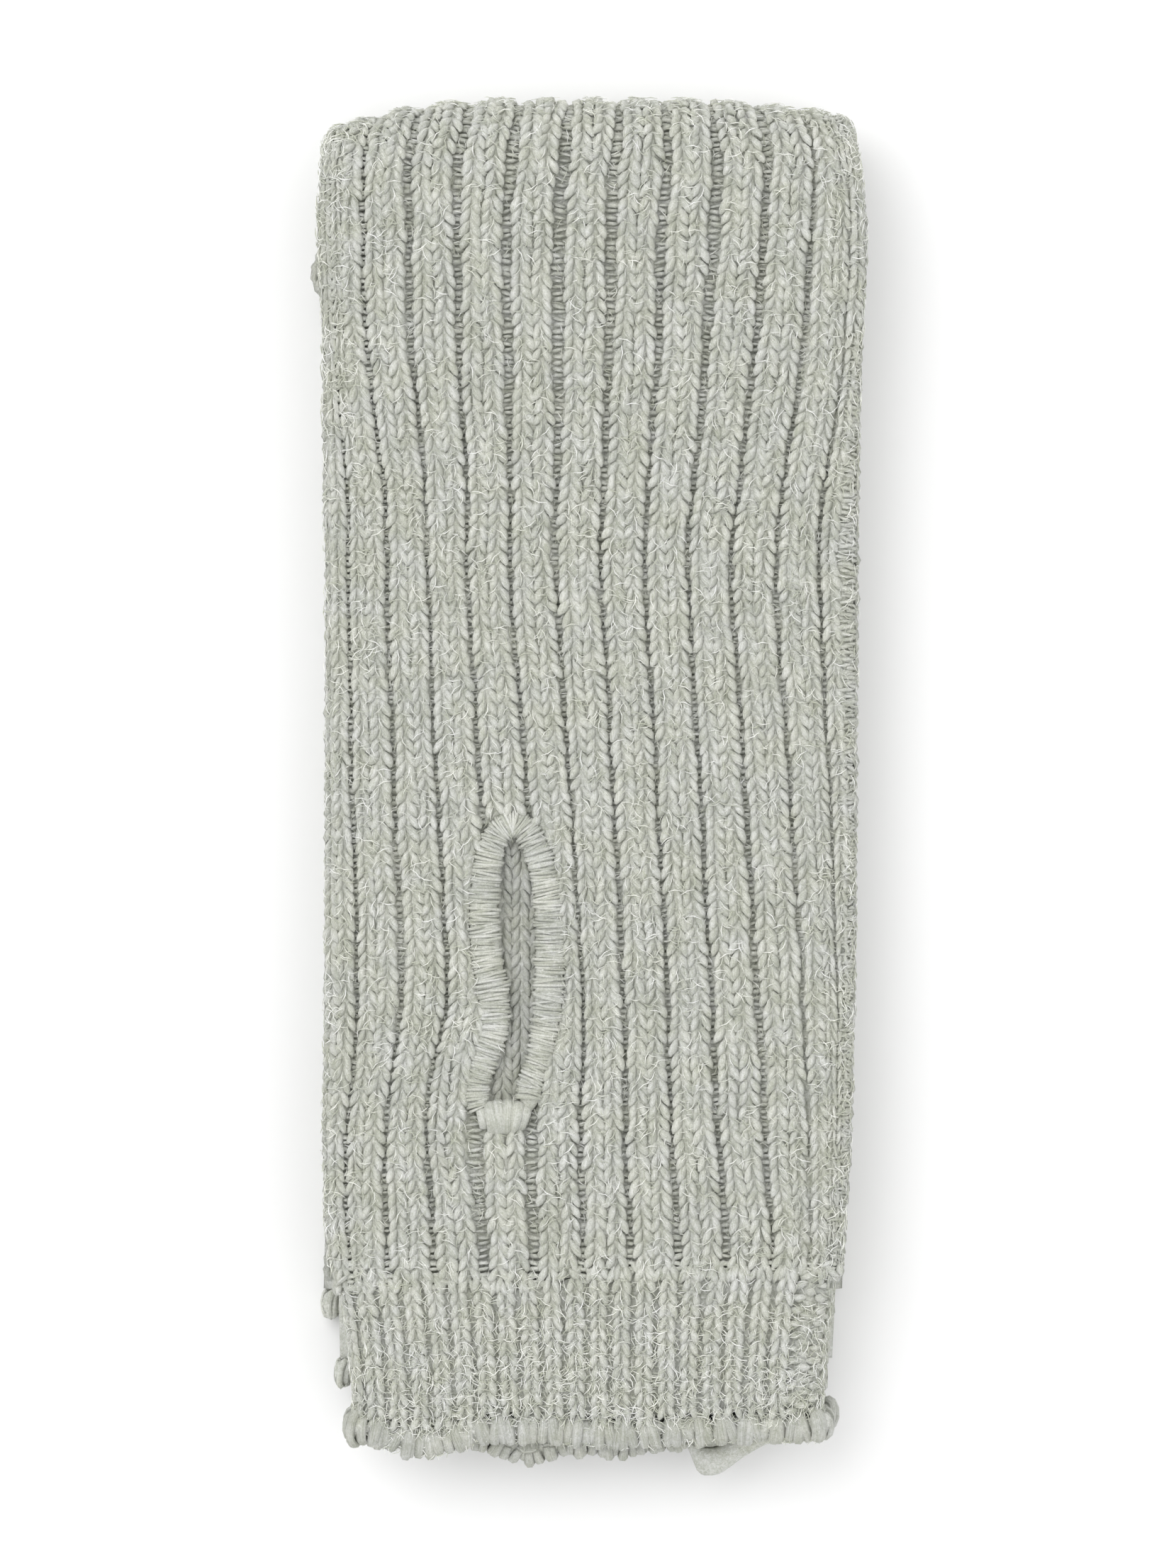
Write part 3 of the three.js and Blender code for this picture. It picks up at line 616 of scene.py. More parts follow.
def insideEdging(x, y, grow):
    rim = edgingRim(160, grow)
    x, y = np.asarray(x), np.asarray(y)
    inside = np.zeros(x.shape, bool)
    for (ax, ay), (bx, by) in zip(rim, np.roll(rim, -1, 0)):
        crosses = (ay > y) != (by > y)
        with np.errstate(divide="ignore", invalid="ignore"):
            inside ^= crosses & (x < (bx - ax) * (y - ay) / (by - ay) + ax)
    return inside


def inOpening(place, run, grow=0.2):
    x, y = place[..., 0] / mm - shiftX, place[..., 1] / mm - shiftY
    return (np.asarray(run) < footRun) & insideEdging(x, y, grow)


# Broad-ribbed legs: the ground under the stitches, a thin wall with a heel opening

ground = {"inset": 1.12, "gutterInset": 0.75, "acrossSteps": 7, "runStep": 5.5, "seamRun": 14,
          "inside": 0.2, "insideWave": 0.1, "cutGrow": -0.3, "cutZ": (19, 40)}


def legWall():
    runs = np.linspace(0, legRun, int(legRun / ground["runStep"]))
    across = np.linspace(-0.5, 0.5, ground["acrossSteps"], endpoint=False)
    ribs = np.repeat(np.arange(ribCount), len(across))
    spots = np.tile(across, ribCount)
    ribs, spots = np.append(ribs, ribCount - 1), np.append(spots, 0.5)
    inset = ground["inset"] + (ground["gutterInset"] - ground["inset"]) * smooth(np.abs(spots), 0.15, 0.5)
    plain = wallPoint(0.0, ribs, spots, 0)[:, 0] / mm - shiftX
    runs = runs[:, None] - seamDrop(plain)[None] * (1 - np.clip(runs[:, None] / ground["seamRun"], 0, 1))
    outside = wallPoint(runs, ribs[None], spots[None], -inset[None])
    y, turn = stationAt(runs)
    left, right, _, _ = outerSides(y, turn)
    share = np.linspace(0.012, 0.488, len(ribs))
    x, _ = roundTube(share[None], left, right, 0)
    out = ground["inside"] + ground["insideWave"] * np.sin(2 * np.pi * share)
    inside = placeOnFold(y, turn, outerTurn, x, out[None])
    rings = np.concatenate([outside, inside[:, ::-1]], 1)
    piece = skinPiece("legWall", rings, groundWool, ends="strip")
    cutter = openingCutter()
    cut = piece.modifiers.new("opening", "BOOLEAN")
    cut.operation, cut.solver, cut.object = "DIFFERENCE", "EXACT", cutter
    bpy.context.view_layer.update()
    mesh = bpy.data.meshes.new_from_object(piece.evaluated_get(bpy.context.evaluated_depsgraph_get()))
    piece.modifiers.clear()
    piece.data = mesh
    bpy.data.objects.remove(cutter)
    return piece


def openingCutter():
    rim = edgingRim(64, ground["cutGrow"])
    rings = [xyz(rim[:, 0] + shiftX, rim[:, 1] + shiftY, z) * mm for z in ground["cutZ"]]
    return skinPiece("openingCutter", rings, groundWool, ends="fan")


def belowSeam(place, run):
    # the leg's side of the slanting seam, with a little lap
    return run > -seamDrop(place[..., 0] / mm - shiftX) - seamStep["lap"]


# the wales follow the ribs, swaying a little; underneath they are pressed flat
wales = {"firstRow": -4.2, "underStart": footRun + 0.85 * foldRun, "inset": 1.0, "pressed": 0.9,
         "pressTurn": (115, 165), "probe": 0.3, "loose": 1.1, "widest": 1.07, "farthest": 0.22, "flat": 0.4,
         "sway": ((0.02, 7.3, 2.1, 1), (0.016, 3.1, 4.7, 0))}
# the right edge of the leg shows its purl side
sidePurl = {"start": -4.5, "end": footRun - 42, "across": (0.13, 0.38), "inset": 0.75, "wide": 1.3, "high": 1.35}


def waleCarriers(runs, ribs, seed):
    run, rib = np.meshgrid(runs, ribs, indexing="ij")
    _, turn = stationAt(run)
    inset = wales["inset"] + wales["pressed"] * smooth(turn, *wales["pressTurn"])
    probe = wales["probe"]
    groups = []
    for way in (-1, 1):
        half = np.linalg.norm(wallPoint(run, rib, way * probe, 0) - wallPoint(run, rib, 0.0, 0), axis=-1) / probe / mm
        wide = np.minimum(half / knit["ribWidth"] / wales["loose"], wales["widest"])
        spot = way * np.minimum(knit["wale"] * np.maximum(wide, 1) / half, wales["farthest"])
        for far, length, shift, apart in wales["sway"]:
            spot = spot + far * np.sin(run / length + shift * rib + apart * way)
        place = wallPoint(run, rib, spot, -inset)
        along = wallPoint(run + ahead, rib, spot, -inset) - place
        aside = wallPoint(run, rib, spot + 0.05, -inset) - wallPoint(run, rib, spot - 0.05, -inset)
        high = np.minimum(wales["flat"] + (1 - wales["flat"]) * wide, 1)
        stay = ~inOpening(place, run) & belowSeam(place, run)
        if way > 0:
            stay &= (rib < ribCount - 1) | (run > sidePurl["end"])
        groups.append(kept(carry(place, aside, along, xyz(wide, 1, high), seed + way), stay.ravel()))
    return joined(*groups)


def sideBumps():
    groups = []
    rib = ribCount - 1
    for k, spot in enumerate(sidePurl["across"]):
        run = np.arange(sidePurl["start"] + knit["rowPitch"] / 4 * k, sidePurl["end"], knit["rowPitch"] / 2)
        place, further = (wallPoint(run + step, rib, spot, -sidePurl["inset"]) for step in (0, ahead))
        aside = wallPoint(run, rib, spot + 0.02, -1) - wallPoint(run, rib, spot - 0.02, -1)
        toAndFro = np.where(np.arange(len(run)) % 2, 1.0, -1.0)
        size = xyz(sidePurl["wide"], toAndFro, sidePurl["high"])
        group = carry(place, aside, further - place, size, 25 + k, 0.14, 0.16)
        groups.append(kept(group, belowSeam(place, run)))
    return joined(*groups)


def legStitches():
    rows = np.arange(wales["firstRow"], legRun - 1, knit["rowPitch"])
    topRows, underRows = rows[rows < wales["underStart"]], rows[rows >= wales["underStart"]]
    pieces = []
    for name, runs, ribs, seed, steps, sides in (
            ("legStitchesLeft", topRows, range(0, 6), 11, 4, 5), ("legStitchesRight", topRows, range(6, 13), 12, 4, 5),
            ("legStitchesUnder", underRows, range(ribCount), 13, 3, 3)):
        carriers = waleCarriers(runs, list(ribs), seed)
        pieces.append(scatter(name, stitchShape, knit["stitch"], carriers, stitchWool, steps, sides))
    return pieces


# the gutters: they come up where they end in the fine rib
gutters = {"start": -4.5, "end": footRun + 0.8 * foldRun, "across": 0.4999, "lift": 1.3, "liftRun": 11, "power": 1.5,
           "shore": 0.3, "span": 4.4}


def gutterBumps():
    # two arcs to a row, bowed to and fro, as on the purl side
    rows = np.arange(gutters["start"], gutters["end"], knit["rowPitch"] / 2)
    run, rib = np.meshgrid(rows, np.arange(ribCount - 1), indexing="ij")
    across, shore = gutters["across"], gutters["shore"]
    start = run + seamDrop(wallPoint(run, rib, across, 0.0)[..., 0] / mm - shiftX)
    lift = gutters["lift"] * (1 - smooth(start, 0, gutters["liftRun"])) ** gutters["power"]
    place = wallPoint(run, rib, across, lift)
    along = wallPoint(run + ahead, rib, across, lift) - place
    aside = wallPoint(run, rib + 1, -shore, 0) - wallPoint(run, rib, shore, 0)
    toAndFro = np.where(np.arange(len(rows)) % 2, 1.0, -1.0)[:, None]
    wide = np.linalg.norm(aside, axis=-1) / (gutters["span"] * mm)
    carriers = carry(place, aside, along, xyz(wide, toAndFro, 1), 21, 0.14, 0.14)
    carriers = kept(carriers, (~inOpening(place, run, 0.6) & belowSeam(place, run)).ravel())
    # the gutters' bumps take the lighter wool, painted light in the recesses
    return scatter("gutterBumps", bumpShape, knit["bump"], joined(carriers, sideBumps()), litGutterWool, 3, 3)


# three loops in each gutter: how far aside and along they lie, in millimetres, and their slant
turning = {"lift": 0.9, "aside": (-1.76, 0.0, 1.87), "run": (0.9, -0.9, 0.3), "slant": (0.7, 0.15, -0.7),
           "size": (1.1, 1.0, 1.2), "bump": {"reach": 1.8 * mm, "arch": 0.5 * mm, "bow": -0.4 * mm, "yarn": 1.0 * mm}}


def turningBumps():
    # slanting loops where the broad rib turns into the fine one, lower at the left
    rng = np.random.default_rng(23)
    ribs = np.repeat(np.arange(ribCount - 1), 3)
    shift, start, slant = (np.tile(turning[key], ribCount - 1) for key in ("aside", "run", "slant"))
    seamX = wallPoint(0.0, ribs, 0.499, 0)[:, 0] / mm - shiftX
    run = -seamDrop(seamX) + start + rng.normal(0, 0.3, len(ribs))
    place = wallPoint(run, ribs, 0.499, turning["lift"]) + shift[:, None] * [mm, 0, 0]
    slant = slant + rng.normal(0, 0.25, len(ribs))
    aside, along = xyz(np.cos(slant), np.sin(slant), 0), xyz(-np.sin(slant), np.cos(slant), 0)
    group = carry(place, aside, along, np.tile(turning["size"], (len(ribs), 1)), 24, 0.15, 0.12)
    return scatter("turningBumps", bumpShape, turning["bump"], group, cuffWool, steps=4, sides=5)


# Tubes with ends: cuffs, and the rolled edges bound off round them

ends = {
    "outerFoot": {"table": outerCuffTable, "wave": outerFootWave, "radius": outerTurn, "turn": 0, "ribs": 22},
    "innerFoot": {"table": innerCuffTable, "wave": innerFootWave, "radius": innerTurn, "turn": 0, "ribs": 21},
    "outerKnee": {"table": outerKneeTable, "wave": outerKneeWave, "radius": outerTurn, "turn": 180, "ribs": 22},
    "innerKnee": {"table": innerTable, "wave": innerKneeWave, "radius": innerTurn, "turn": 180, "ribs": 22},
}
rollHalf = 3.4
slitHalf = 0.4


def edgeY(end, share):
    atY = end["wave"][0, 1]
    x, _ = roundTube(share, between(end["table"], atY, 1), between(end["table"], atY, 2), crest / 2)
    return np.where(share > 0.5, between(end["wave"], x, 2), between(end["wave"], x, 1))


def tubePoint(end, share, y, reach):
    left, right = between(end["table"], y, 1), between(end["table"], y, 2)
    x, out = roundTube(share, left, right, reach)
    return placeOnFold(y, end["turn"], end["radius"], x, out)


cuff = {"stitchInset": 0.8, "bumpInset": 2.15, "purlInset": 0.85, "wallInset": 0.75, "ribDepth": 1.7, "steps": 12,
        "facets": 8, "lap": 0.6, "overRoll": 0.6, "stitchWidth": 2.08, "purlRibs": (-1.9, -1.4, -0.9, -0.35),
        "stitch": {"spread": 1.72 * mm, "close": 0.35 * mm, "rise": 2.15 * mm, "sink": 0.5 * mm, "yarn": 1.0 * mm},
        "bump": {"reach": 1.3 * mm, "arch": 0.25 * mm, "bow": -0.4 * mm, "yarn": 0.85 * mm},
        "purl": {"reach": 1.6 * mm, "arch": 0.5 * mm, "bow": -0.5 * mm, "yarn": 1.0 * mm}}


def cuffTop(end, share):
    # the outer foot's upper wall follows the slanting seam
    x, _ = roundTube(share, between(end["table"], cuffSeamY, 1), between(end["table"], cuffSeamY, 2), crest / 2)
    return cuffSeamY - seam - seamDrop(x) * ((share < 0.5) & (end is ends["outerFoot"]))


def cuffWall(name, end, reach):
    count = end["ribs"] * cuff["facets"]
    share = (np.arange(count) + 0.5) / count
    rib = np.abs((share * end["ribs"] * 2) % 1 - 0.5) * 2     # 0 on a rib's top, 1 in a gutter
    top, low = cuffTop(end, share), edgeY(end, share) + rollHalf + seam
    parts = np.linspace(0, 1, cuff["steps"])
    outReach = reach - cuff["wallInset"] - rib ** 2 * cuff["ribDepth"]
    outside = [tubePoint(end, share, top + (low - top) * part, outReach) for part in parts]
    inside = [tubePoint(end, share, top + (low - top) * part, slitHalf) for part in parts[::-1]]
    # the wall under the cuff's stitches takes the darker wool, painted shade between the stitches
    return skinPiece(name, np.stack(outside + inside, 1), shadedWool, closed=True)


def cuffCarriers(end, reach, seed, shares, offset=0.0, jitter=0.06, tilt=0.05):
    low, lap = edgeY(end, shares) + rollHalf + seam, cuff["lap"]
    share, y = np.meshgrid(shares, np.arange(cuffSeamY - lap - offset, low.min() - 1, -knit["rowPitch"]))
    place = tubePoint(end, share, y, reach)
    stay = ((y > edgeY(end, share) + rollHalf * cuff["overRoll"]) & (y < cuffTop(end, share) + lap)).ravel()
    along = tubePoint(end, share, y + ahead, reach) - place
    step = 0.1 / end["ribs"]
    aside = tubePoint(end, share + step, y, reach) - tubePoint(end, share - step, y, reach)
    wide = np.linalg.norm(aside, axis=-1) / (cuff["stitchWidth"] * mm)
    return kept(carry(place, aside, along, xyz(wide, 1, 1), seed, jitter, tilt), stay)


def cuffStitches(name, end, reach, seed, full):
    count = end["ribs"]
    upper = (np.arange(count) + 0.5) / count / 2
    lower = 0.5 + upper
    # at the right the cuff's top shows its purl side
    purl = (np.array(cuff["purlRibs"]) + count) / count / 2
    shares = np.concatenate([upper[:-2], lower] if full else [upper[:2], upper[-2:], lower])
    carriers = cuffCarriers(end, reach - cuff["stitchInset"], seed, shares)
    made = [scatter(name + "Stitches", stitchShape, cuff["stitch"], carriers, cuffWool, 4, 5)]
    bumps = cuffCarriers(end, reach - cuff["bumpInset"], seed + 5, np.arange(1, count) / count / 2)
    # the cuff's gutter bumps take the lighter wool too, painted light in the recesses
    made.append(scatter(name + "Bumps", bumpShape, cuff["bump"], bumps, litGutterWool, 3, 4))
    if full:
        bumps = joined(*[cuffCarriers(end, reach - cuff["purlInset"], seed + 6 + k, purl[k:k + 1],
                                      knit["rowPitch"] / 2 * (k % 2), 0.16, 0.22) for k in range(len(purl))])
        made.append(scatter(name + "Purl", bumpShape, cuff["purl"], bumps, cuffWool, 4, 5))
    return made


# the foot ends' rolls are puffier and stand out at both sides, the knee ends' only at the left
rolled = {"shell": 5.6, "loops": (-0.27, 0.0, 0.27), "loopWide": 4.5, "fan": 0.12, "dip": 0.42, "cornerReach": 0.04,
          "lobe": (18.0, 47.0), "lobeY": -156, "rings": 260, "facets": 12,
          "foot": {"swell": 0.9, "puff": 0.8, "left": 2.4, "right": 2.4, "grow": 1.14, "loopDepth": 0.84,
                   "yarn": (12, 6)},
          "knee": {"swell": 0.88, "puff": 0.0, "left": 1.6, "right": -2.0, "grow": 1.0, "loopDepth": 0.63,
                   "yarn": (10, 4)},
          "loopHalf": 0.92, "wrap": {"sweep": wrapSweep, "yarn": 0.31}}


def rollOf(end):
    return rolled["knee" if end["turn"] else "foot"]


def shellCount(end):
    return int(2 * (end["table"][-1, 2] - end["table"][-1, 1]) / rolled["shell"])


def shellSwell(end, share):
    # 1 on each puffy shell of the bound edge and less between two
    return 1 - rolled["dip"] * (1 - np.abs(np.sin(share * np.pi * shellCount(end)))) ** 1.5


def cornerPuff(end, share):
    far = np.minimum(np.abs(share - 0.5), np.minimum(share, 1 - share))
    most = np.where(np.abs(share - 0.5) < 0.25, rollOf(end)["right"], rollOf(end)["left"])
    return most * (1 - smooth(far, 0, rolled["cornerReach"]))


def inLobe(end, share):
    # the inner foot end's lobe is smooth, without loops
    left, right = between(end["table"], rolled["lobeY"], 1), between(end["table"], rolled["lobeY"], 2)
    x, _ = roundTube(share, left, right, crest / 2)
    return (x > rolled["lobe"][0]) & (x < rolled["lobe"][1]) & (end is ends["innerFoot"])


def boundRoll(name, end, reach):
    share = (np.arange(rolled["rings"]) + 0.5) / rolled["rings"]
    middle = edgeY(end, share)
    thick = (reach - seam / 2) / 2
    centre = reach - thick + cornerPuff(end, share)
    smoothPart = inLobe(end, share)
    swell = np.where(smoothPart, 1.0, shellSwell(end, share) * rollOf(end)["swell"])
    fill = thick + np.where(smoothPart, 0, rollOf(end)["puff"])
    angles = np.linspace(0, 2 * np.pi, rolled["facets"], endpoint=False)
    rings = np.stack([tubePoint(end, share, middle + rollHalf * swell * math.sin(a),
                                centre + fill * swell * math.cos(a)) for a in angles], 1)
    return skinPiece(name + "Roll", rings, groundWool, closed=True)


def boundWraps(name, end, reach, seed):
    rng = np.random.default_rng(seed)
    shells, loops = shellCount(end), np.array(rolled["loops"])
    share = ((np.arange(shells)[:, None] + 0.5 + loops) / shells).ravel()
    fan = np.tile(loops / loops[-1] * rolled["fan"], shells)
    share = np.clip(share + rng.normal(0, 0.06, len(share)) / shells, 0.0005, 0.9995)
    stay = ~inLobe(end, share)
    share, fan = share[stay], fan[stay]
    count = len(share)
    thick = (reach - seam / 2) / 2
    centre = reach - thick + cornerPuff(end, share)
    middle = edgeY(end, share) + rng.normal(0, 0.1, count)
    place = tubePoint(end, share, middle, centre)
    step = 1.3 / count
    aside = unit(tubePoint(end, share + step, edgeY(end, share + step), centre)
                 - tubePoint(end, share - step, edgeY(end, share - step), centre))
    out = unit(tubePoint(end, share, middle, reach + 0.4) - tubePoint(end, share, middle, reach - 0.4))
    along = unit(np.cross(out, aside))
    lump = shellSwell(end, share) * rng.uniform(0.95, 1.05, count)
    half = rollHalf * rolled["loopHalf"] * rollOf(end)["grow"]
    deep = thick * rollOf(end)["loopDepth"] + rollOf(end)["puff"]
    size = xyz(rolled["loopWide"], half * lump, deep * lump) * mm
    slant = (fan + rng.normal(0, 0.1, count))[:, None]
    aside, along = aside * np.cos(slant) + along * np.sin(slant), along * np.cos(slant) - aside * np.sin(slant)
    group = carry(place, aside, along, size, seed, 0.05, 0.06)
    finish = kneeWool if end["turn"] else edgeWool
    return scatter(name + "Wraps", wrapShape, rolled["wrap"], group, finish, *rollOf(end)["yarn"])


# The heel opening's whipped edging, with the bobble at its low end

whip = {"pitch": 0.56, "wrap": {"sweep": wrapSweep, "yarn": 0.115}, "rings": 240, "facets": 12,
        "wide": 3.4, "fit": 0.95, "rollFit": 0.88, "sunk": 0.45, "knobY": (72.5, 76.5), "knobShrink": 0.45,
        "bare": (-26, -74.5)}
bobble = {"x": (-25.0, -23.3, -21.5, -19.6, -17.7, -15.9), "slant": (0.24, 0.13, 0.04, -0.08, -0.16, -0.28),
          "halfY": (2.4, 3.3, 3.5, 3.4, 3.1, 2.3), "y": -78.5, "high": 2.0, "rise": 0.9, "wide": 5.0,
          "wrap": {"sweep": wrapSweep, "yarn": 0.33}}


def edgingRoll():
    # it gets thin where the bobble takes over
    line, _, outward, _ = edgingLine(whip["rings"])
    knob = 1 - whip["knobShrink"] * smooth(-line[:, 1], *whip["knobY"])
    lift = (line[:, 3] - whip["sunk"]) * knob
    rings = []
    for a in np.linspace(0, 2 * np.pi, whip["facets"], endpoint=False):
        aside = line[:, 2] * whip["rollFit"] * knob * math.cos(a)
        x, y = line[:, 0] + outward[:, 0] * aside, line[:, 1] + outward[:, 1] * aside
        rings.append(placeOnFold(y, 0, outerTurn, x, line[:, 3] * knob + lift * whip["rollFit"] * math.sin(a)))
    return skinPiece("edgingRoll", np.stack(rings, 1), groundWool, closed=True)


def edgingWraps():
    _, _, _, length = edgingLine(10)
    line, along, outward, _ = edgingLine(int(length / whip["pitch"]))
    place = placeOnFold(line[:, 1], 0, outerTurn, line[:, 0], line[:, 3])
    size = xyz(whip["wide"], line[:, 2] * whip["fit"], (line[:, 3] - whip["sunk"]) * whip["fit"]) * mm
    # the arc's own axes: x along the roll, y outwards, z up
    group = carry(place, xyz(*along.T, 0), -xyz(*outward.T, 0), size, 31, 0.07, 0.09)
    bare = (line[:, 0] > whip["bare"][0]) & (line[:, 1] < whip["bare"][1])
    return scatter("edgingWraps", wrapShape, whip["wrap"], kept(group, ~bare), whippedWool, 12, 4)


def bobbleLoops():
    x, halfY, slant = (np.array(bobble[key]) for key in ("x", "halfY", "slant"))
    place = placeOnFold(np.full(len(x), bobble["y"]), 0, outerTurn, x, bobble["high"])
    aside, along = xyz(np.cos(slant), np.sin(slant), 0), xyz(-np.sin(slant), np.cos(slant), 0)
    size = xyz(bobble["wide"], halfY, bobble["rise"] * halfY) * mm
    group = carry(place, aside, along, size, 33, 0.05, 0.1)
    return scatter("bobbleLoops", wrapShape, bobble["wrap"], group, bobbleWool, 14, 7)


openFloor = {"x": (-20.6, -16.2, -11.8), "y": (-74, -12), "out": 0.35, "size": (1.0, 1.0, 0.7)}


def openingFloor():
    # the knit seen through the opening, darker with painted shade
    x, y = np.array([(x, y) for x in openFloor["x"] for y in np.arange(*openFloor["y"], knit["rowPitch"])]).T
    place, further = (placeOnFold(y + step, 0, outerTurn, x, openFloor["out"]) for step in (0, ahead))
    aside = placeOnFold(y, 0, outerTurn, x + 0.5, openFloor["out"]) - place
    group = carry(place, aside, further - place, np.tile(openFloor["size"], (len(x), 1)), 35)
    return scatter("openingFloor", stitchShape, knit["stitch"], group, shadedFloorWool, 4, 5)


# The hidden layers: one rounded body whose sides show the edges of the layers between

inner = {"slit": 0.3, "radius": innerTurn - 0.05, "inset": 1.0, "notch": 2.9, "wave": 0.3, "rings": 150,
         "endLap": 0.6, "endInset": 0.5}


def hiddenRing(y, turn):
    left, right, _, _ = outerSides(y, turn)
    innerLeft, innerRight = between(innerTable, y, 1), between(innerTable, y, 2)
    share = np.linspace(0.03, 0.47, 24)
    top, _ = roundTube(share, left, right, 0)
    points = [(x, -seam / 2 + inner["wave"] * math.sin(2 * math.pi * s)) for x, s in zip(top, share)]

    def side(outerX, innerX, way):
        # from the top down: half the outer tube's side, the groove, and the inner tube's side
        centre, innerCentre = outerX - way * crest, innerX - way * inner["radius"]
        notch = way * min(way * outerX, way * innerX) - way * inner["notch"]
        line = [(outerX, -seam / 2)]
        line += [(centre + way * (crest * math.cos(a) - inner["inset"]), -crest * math.sin(a))
                 for a in np.radians(np.arange(12, 66, 9))]
        line.append((notch, -tubePitch / 2))
        line += [(innerCentre + way * (inner["radius"] * math.cos(a) - inner["inset"]),
                  -tubePitch + inner["radius"] * math.sin(a))
                 for a in np.radians(np.arange(64, -72, -9))]
        line.append((innerCentre, inner["slit"] - outerTurn))
        return line
    return points + side(right, innerRight, 1) + side(left, innerLeft, -1)[::-1]


def hiddenLayers():
    rings = []
    for run in np.linspace(0, legRun, inner["rings"]):
        y, turn = stationAt(run)
        ring = np.array(hiddenRing(float(y), float(turn)))
        rings.append(placeOnFold(y, turn, outerTurn, ring[:, 0], ring[:, 1]))
    # the darker wool paints the shade on the layers under the top leg
    return skinPiece("hiddenLayers", rings, shadedWool, ends="fan")


def innerKneeEnd():
    rings = []
    share = (np.arange(60) + 0.5) / 60
    for y in np.linspace(outerKneeY - inner["endLap"], innerKneeY, 7):
        left, right = between(innerTable, y, 1), between(innerTable, y, 2)
        x, out = roundTube(share, left, right, innerTurn - inner["endInset"])
        rings.append(placeOnFold(y, 180, innerTurn, x, out))
    # the darker wool paints the shade on the inner knee end under the stack
    return skinPiece("innerKneeEnd", rings, shadedWool, ends="fan")


# the wales' places round a side, in degrees
sideWales = {"outer": (-16, -48), "inner": (44, 8, -34), "sunk": 0.6, "size": (0.62, 1.0, 0.85)}


def sideStitches():
    # wales along the rolled sides of the layers between
    rows = np.arange(1.5, legRun - 1, knit["rowPitch"])
    groups = []
    rolls = [("outer", outerTurn, crest, angle) for angle in sideWales["outer"]]
    rolls += [("inner", innerTurn, innerTurn, angle) for angle in sideWales["inner"]]
    for k, (which, radius, half, angle) in enumerate(rolls):
        for way in (-1, 1):
            def point(run, degrees):
                y, turn = stationAt(run)
                sides = outerSides(y, turn)[:2] if which == "outer" else [between(innerTable, y, n) for n in (1, 2)]
                edge, a, reach = sides[way > 0], math.radians(degrees), half - sideWales["sunk"]
                return placeOnFold(y, turn, radius, edge - way * half + way * reach * math.cos(a), reach * math.sin(a))
            place = point(rows, angle)
            aside = point(rows, angle - way * 6) - point(rows, angle + way * 6)
            size = np.tile(sideWales["size"], (len(rows), 1))
            groups.append(carry(place, aside, point(rows + ahead, angle) - place, size, 60 + 2 * k + way))
    return scatter("sideStitches", stitchShape, knit["stitch"], joined(*groups), stitchWool, 3, 3)


# Loose fibres that stand off the wool

fuzz = {"count": 15900, "cuffCount": 5200, "seed": 71, "length": (1.4, 3.8), "overEdging": -6.3, "stand": 0.4,
        "lift": (-0.3, 0.45), "cuffLift": (-0.3, 0.5), "foldShare": 0.8, "crowding": 0.65,
        "fibre": {"reach": 1.0, "arch": 0.22, "bow": 0.45, "yarn": 0.085}}


def fibreCarriers(rng, place, out):
    count = len(place)
    lean = unit(rng.normal(0, 1, (count, 3)) + out * fuzz["stand"])
    size = (rng.uniform(*fuzz["length"], count) / 2 * mm)[:, None] * np.ones(3)
    return {"place": place, "along": unit(np.cross(out, lean)), "up": out, "size": size, "shade": rng.random(count)}


def looseFibres():
    rng = np.random.default_rng(fuzz["seed"])
    count = fuzz["count"]
    run = rng.uniform(-2, footRun + foldRun * fuzz["foldShare"], count)
    rib = rng.integers(0, ribCount, count)
    across = rng.uniform(-0.5, 0.5, count)
    place = wallPoint(run, rib, across, rng.uniform(*fuzz["lift"], count))
    out = unit(wallPoint(run, rib, across, 1.0) - wallPoint(run, rib, across, 0.0))
    group = kept(fibreCarriers(rng, place, out), ~inOpening(place, run, fuzz["overEdging"]))
    return scatter("looseFibres", fibreShape, fuzz["fibre"], group, fuzzWool, 3, 3)


def cuffFibres():
    rng = np.random.default_rng(fuzz["seed"] + 1)
    count, end = fuzz["cuffCount"], ends["outerFoot"]
    share = rng.uniform(-0.02, 0.52, count) % 1
    y = cuffSeamY + (edgeY(end, share) - rollHalf - cuffSeamY) * rng.random(count) ** fuzz["crowding"]
    place = tubePoint(end, share, y, crest - 0.3 + rng.uniform(*fuzz["cuffLift"], count))
    out = unit(tubePoint(end, share, y, crest + 0.5) - tubePoint(end, share, y, crest - 0.5))
    return scatter("cuffFibres", fibreShape, fuzz["fibre"], fibreCarriers(rng, place, out), fuzzWool, 3, 3)


# Build

def add(piece, slot, *nodes):
    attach(piece, "root")
    if nodes:
        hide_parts(*nodes)
    return piece


print("the broad-ribbed leg")
wall = add(legWall(), "broad_rib", "outer_leg")
legParts = [add(piece, "broad_rib") for piece in (*legStitches(), gutterBumps(), turningBumps())]

print("the heel opening's edging")
add(edgingRoll(), "edging", "heel_edging")
for piece in (edgingWraps(), bobbleLoops()):
    add(piece, "edging")

print("the cuffs")
outerCuff = add(cuffWall("outerFootCuff", ends["outerFoot"], crest), "fine_rib", "outer_foot_cuff")
made = cuffStitches("outerFootCuff", ends["outerFoot"], crest, 41, True)
outerCuffParts = [add(piece, "fine_rib") for piece in made]
innerCuff = add(cuffWall("innerFootCuff", ends["innerFoot"], 3.3), "fine_rib", "inner_foot_cuff")
made = cuffStitches("innerFootCuff", ends["innerFoot"], 3.3, 42, False)
innerCuffParts = [add(piece, "fine_rib") for piece in made]

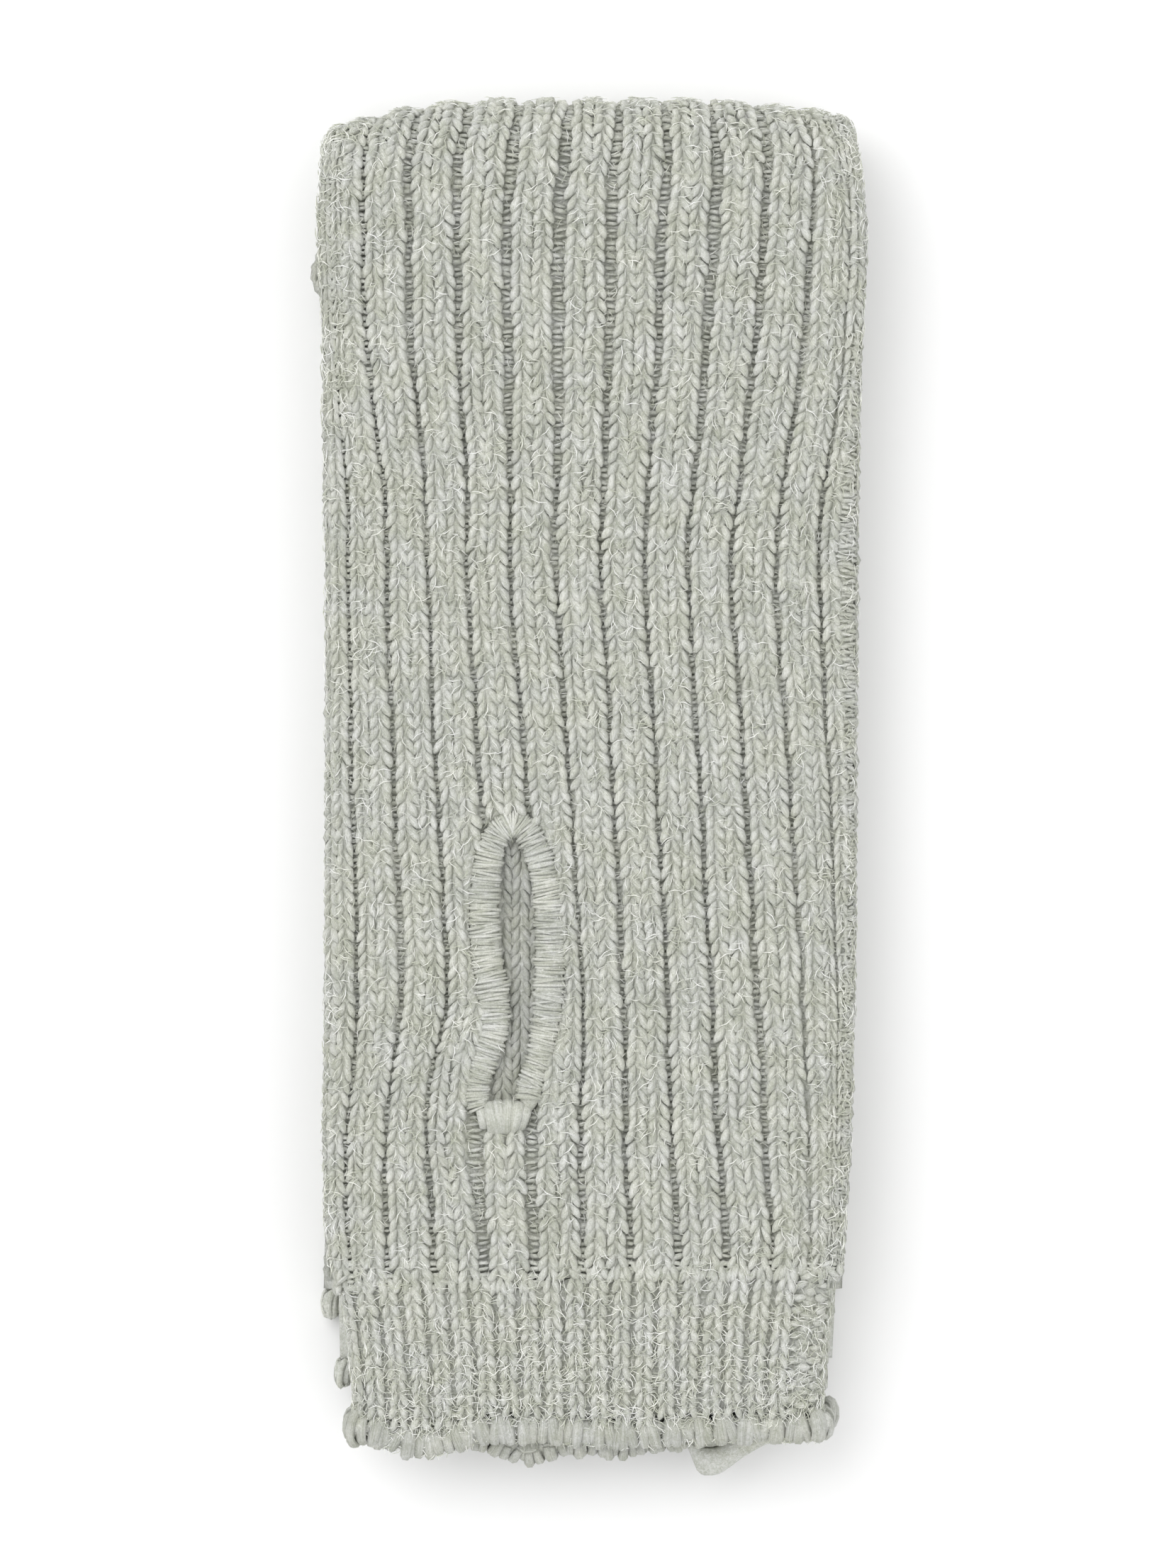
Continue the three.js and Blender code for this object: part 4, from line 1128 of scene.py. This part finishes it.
print("the bound edges")
for name, node, reach, seed in (("outerFoot", "outer_foot_edge", 3.5, 51), ("innerFoot", "inner_foot_edge", 3.3, 52),
                                ("outerKnee", "outer_knee_edge", 3.5, 53), ("innerKnee", "inner_knee_edge", 3.3, 54)):
    add(boundRoll(name, ends[name], reach), "bound_edge", node)
    add(boundWraps(name, ends[name], reach, seed), "bound_edge")

print("the hidden layers")
layers = add(hiddenLayers(), "hidden_rib", "hidden_layers")
layerParts = [add(piece, "hidden_rib") for piece in (innerKneeEnd(), sideStitches(), openingFloor())]

print("the loose fibres")
legParts.append(add(looseFibres(), "broad_rib"))
outerCuffParts.append(add(cuffFibres(), "fine_rib"))


# The floor, the light and the camera

studio = {"floor": (0.93, 0.93, 0.93), "pixel": 0.169 * mm, "frameTall": 2212, "distance": 1.6, "world": 0.88,
          "sensor": 24, "topShare": 0.85, "middle": (-0.25, 1.0),     # of the frame, on the garment, in millimetres
          "key": {"place": (-0.75, 0.65, 1.5), "size": 1.5, "power": 14},
          "fill": {"place": (0.9, -0.3, 1.5), "size": 1.6, "power": 5}}


def floorPiece():
    material = bpy.data.materials.new("paleFloor")
    material.use_nodes = True
    shader = material.node_tree.nodes["Principled BSDF"]
    shader.inputs["Base Color"].default_value = studio["floor"] + (1,)
    shader.inputs["Roughness"].default_value = 0.9
    half = 3.0
    piece = meshPiece("floor", [(-half, -half, 0), (half, -half, 0), (half, half, 0), (-half, half, 0)],
                      [(0, 1, 2, 3)], material)
    piece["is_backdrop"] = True


def areaLight(name):
    place, size, power = (studio[name][key] for key in ("place", "size", "power"))
    data = bpy.data.lights.new(name, "AREA")
    data.size, data.energy = size, power
    light = bpy.data.objects.new(name, data)
    light.location = place
    light.rotation_euler = (-Vector(place)).to_track_quat("-Z", "Y").to_euler()
    bpy.context.scene.collection.objects.link(light)


def camera():
    data = bpy.data.cameras.new("camera")
    tall = studio["frameTall"] * studio["pixel"]
    top = cadBox[1][2] * studio["topShare"]
    data.sensor_fit = "VERTICAL"
    data.sensor_height = studio["sensor"]
    data.lens = studio["sensor"] * studio["distance"] / tall
    data.clip_end = 20
    eye = bpy.data.objects.new("camera", data)
    x, y = studio["middle"]
    eye.location = ((shiftX + x) * mm, (shiftY + y) * mm, studio["distance"] + top)
    bpy.context.scene.collection.objects.link(eye)
    bpy.context.scene.camera = eye


print("the studio")
floorPiece()
areaLight("key")
areaLight("fill")
camera()
world = bpy.data.worlds.new("studio")
world.use_nodes = True
world.node_tree.nodes["Background"].inputs["Color"].default_value = (1, 1, 1, 1)
world.node_tree.nodes["Background"].inputs["Strength"].default_value = studio["world"]
bpy.context.scene.world = world
bpy.context.scene.view_settings.view_transform = "Standard"

{"cad": [list(corner) for corner in cadBox], "scene": [list(corner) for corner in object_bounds()]}
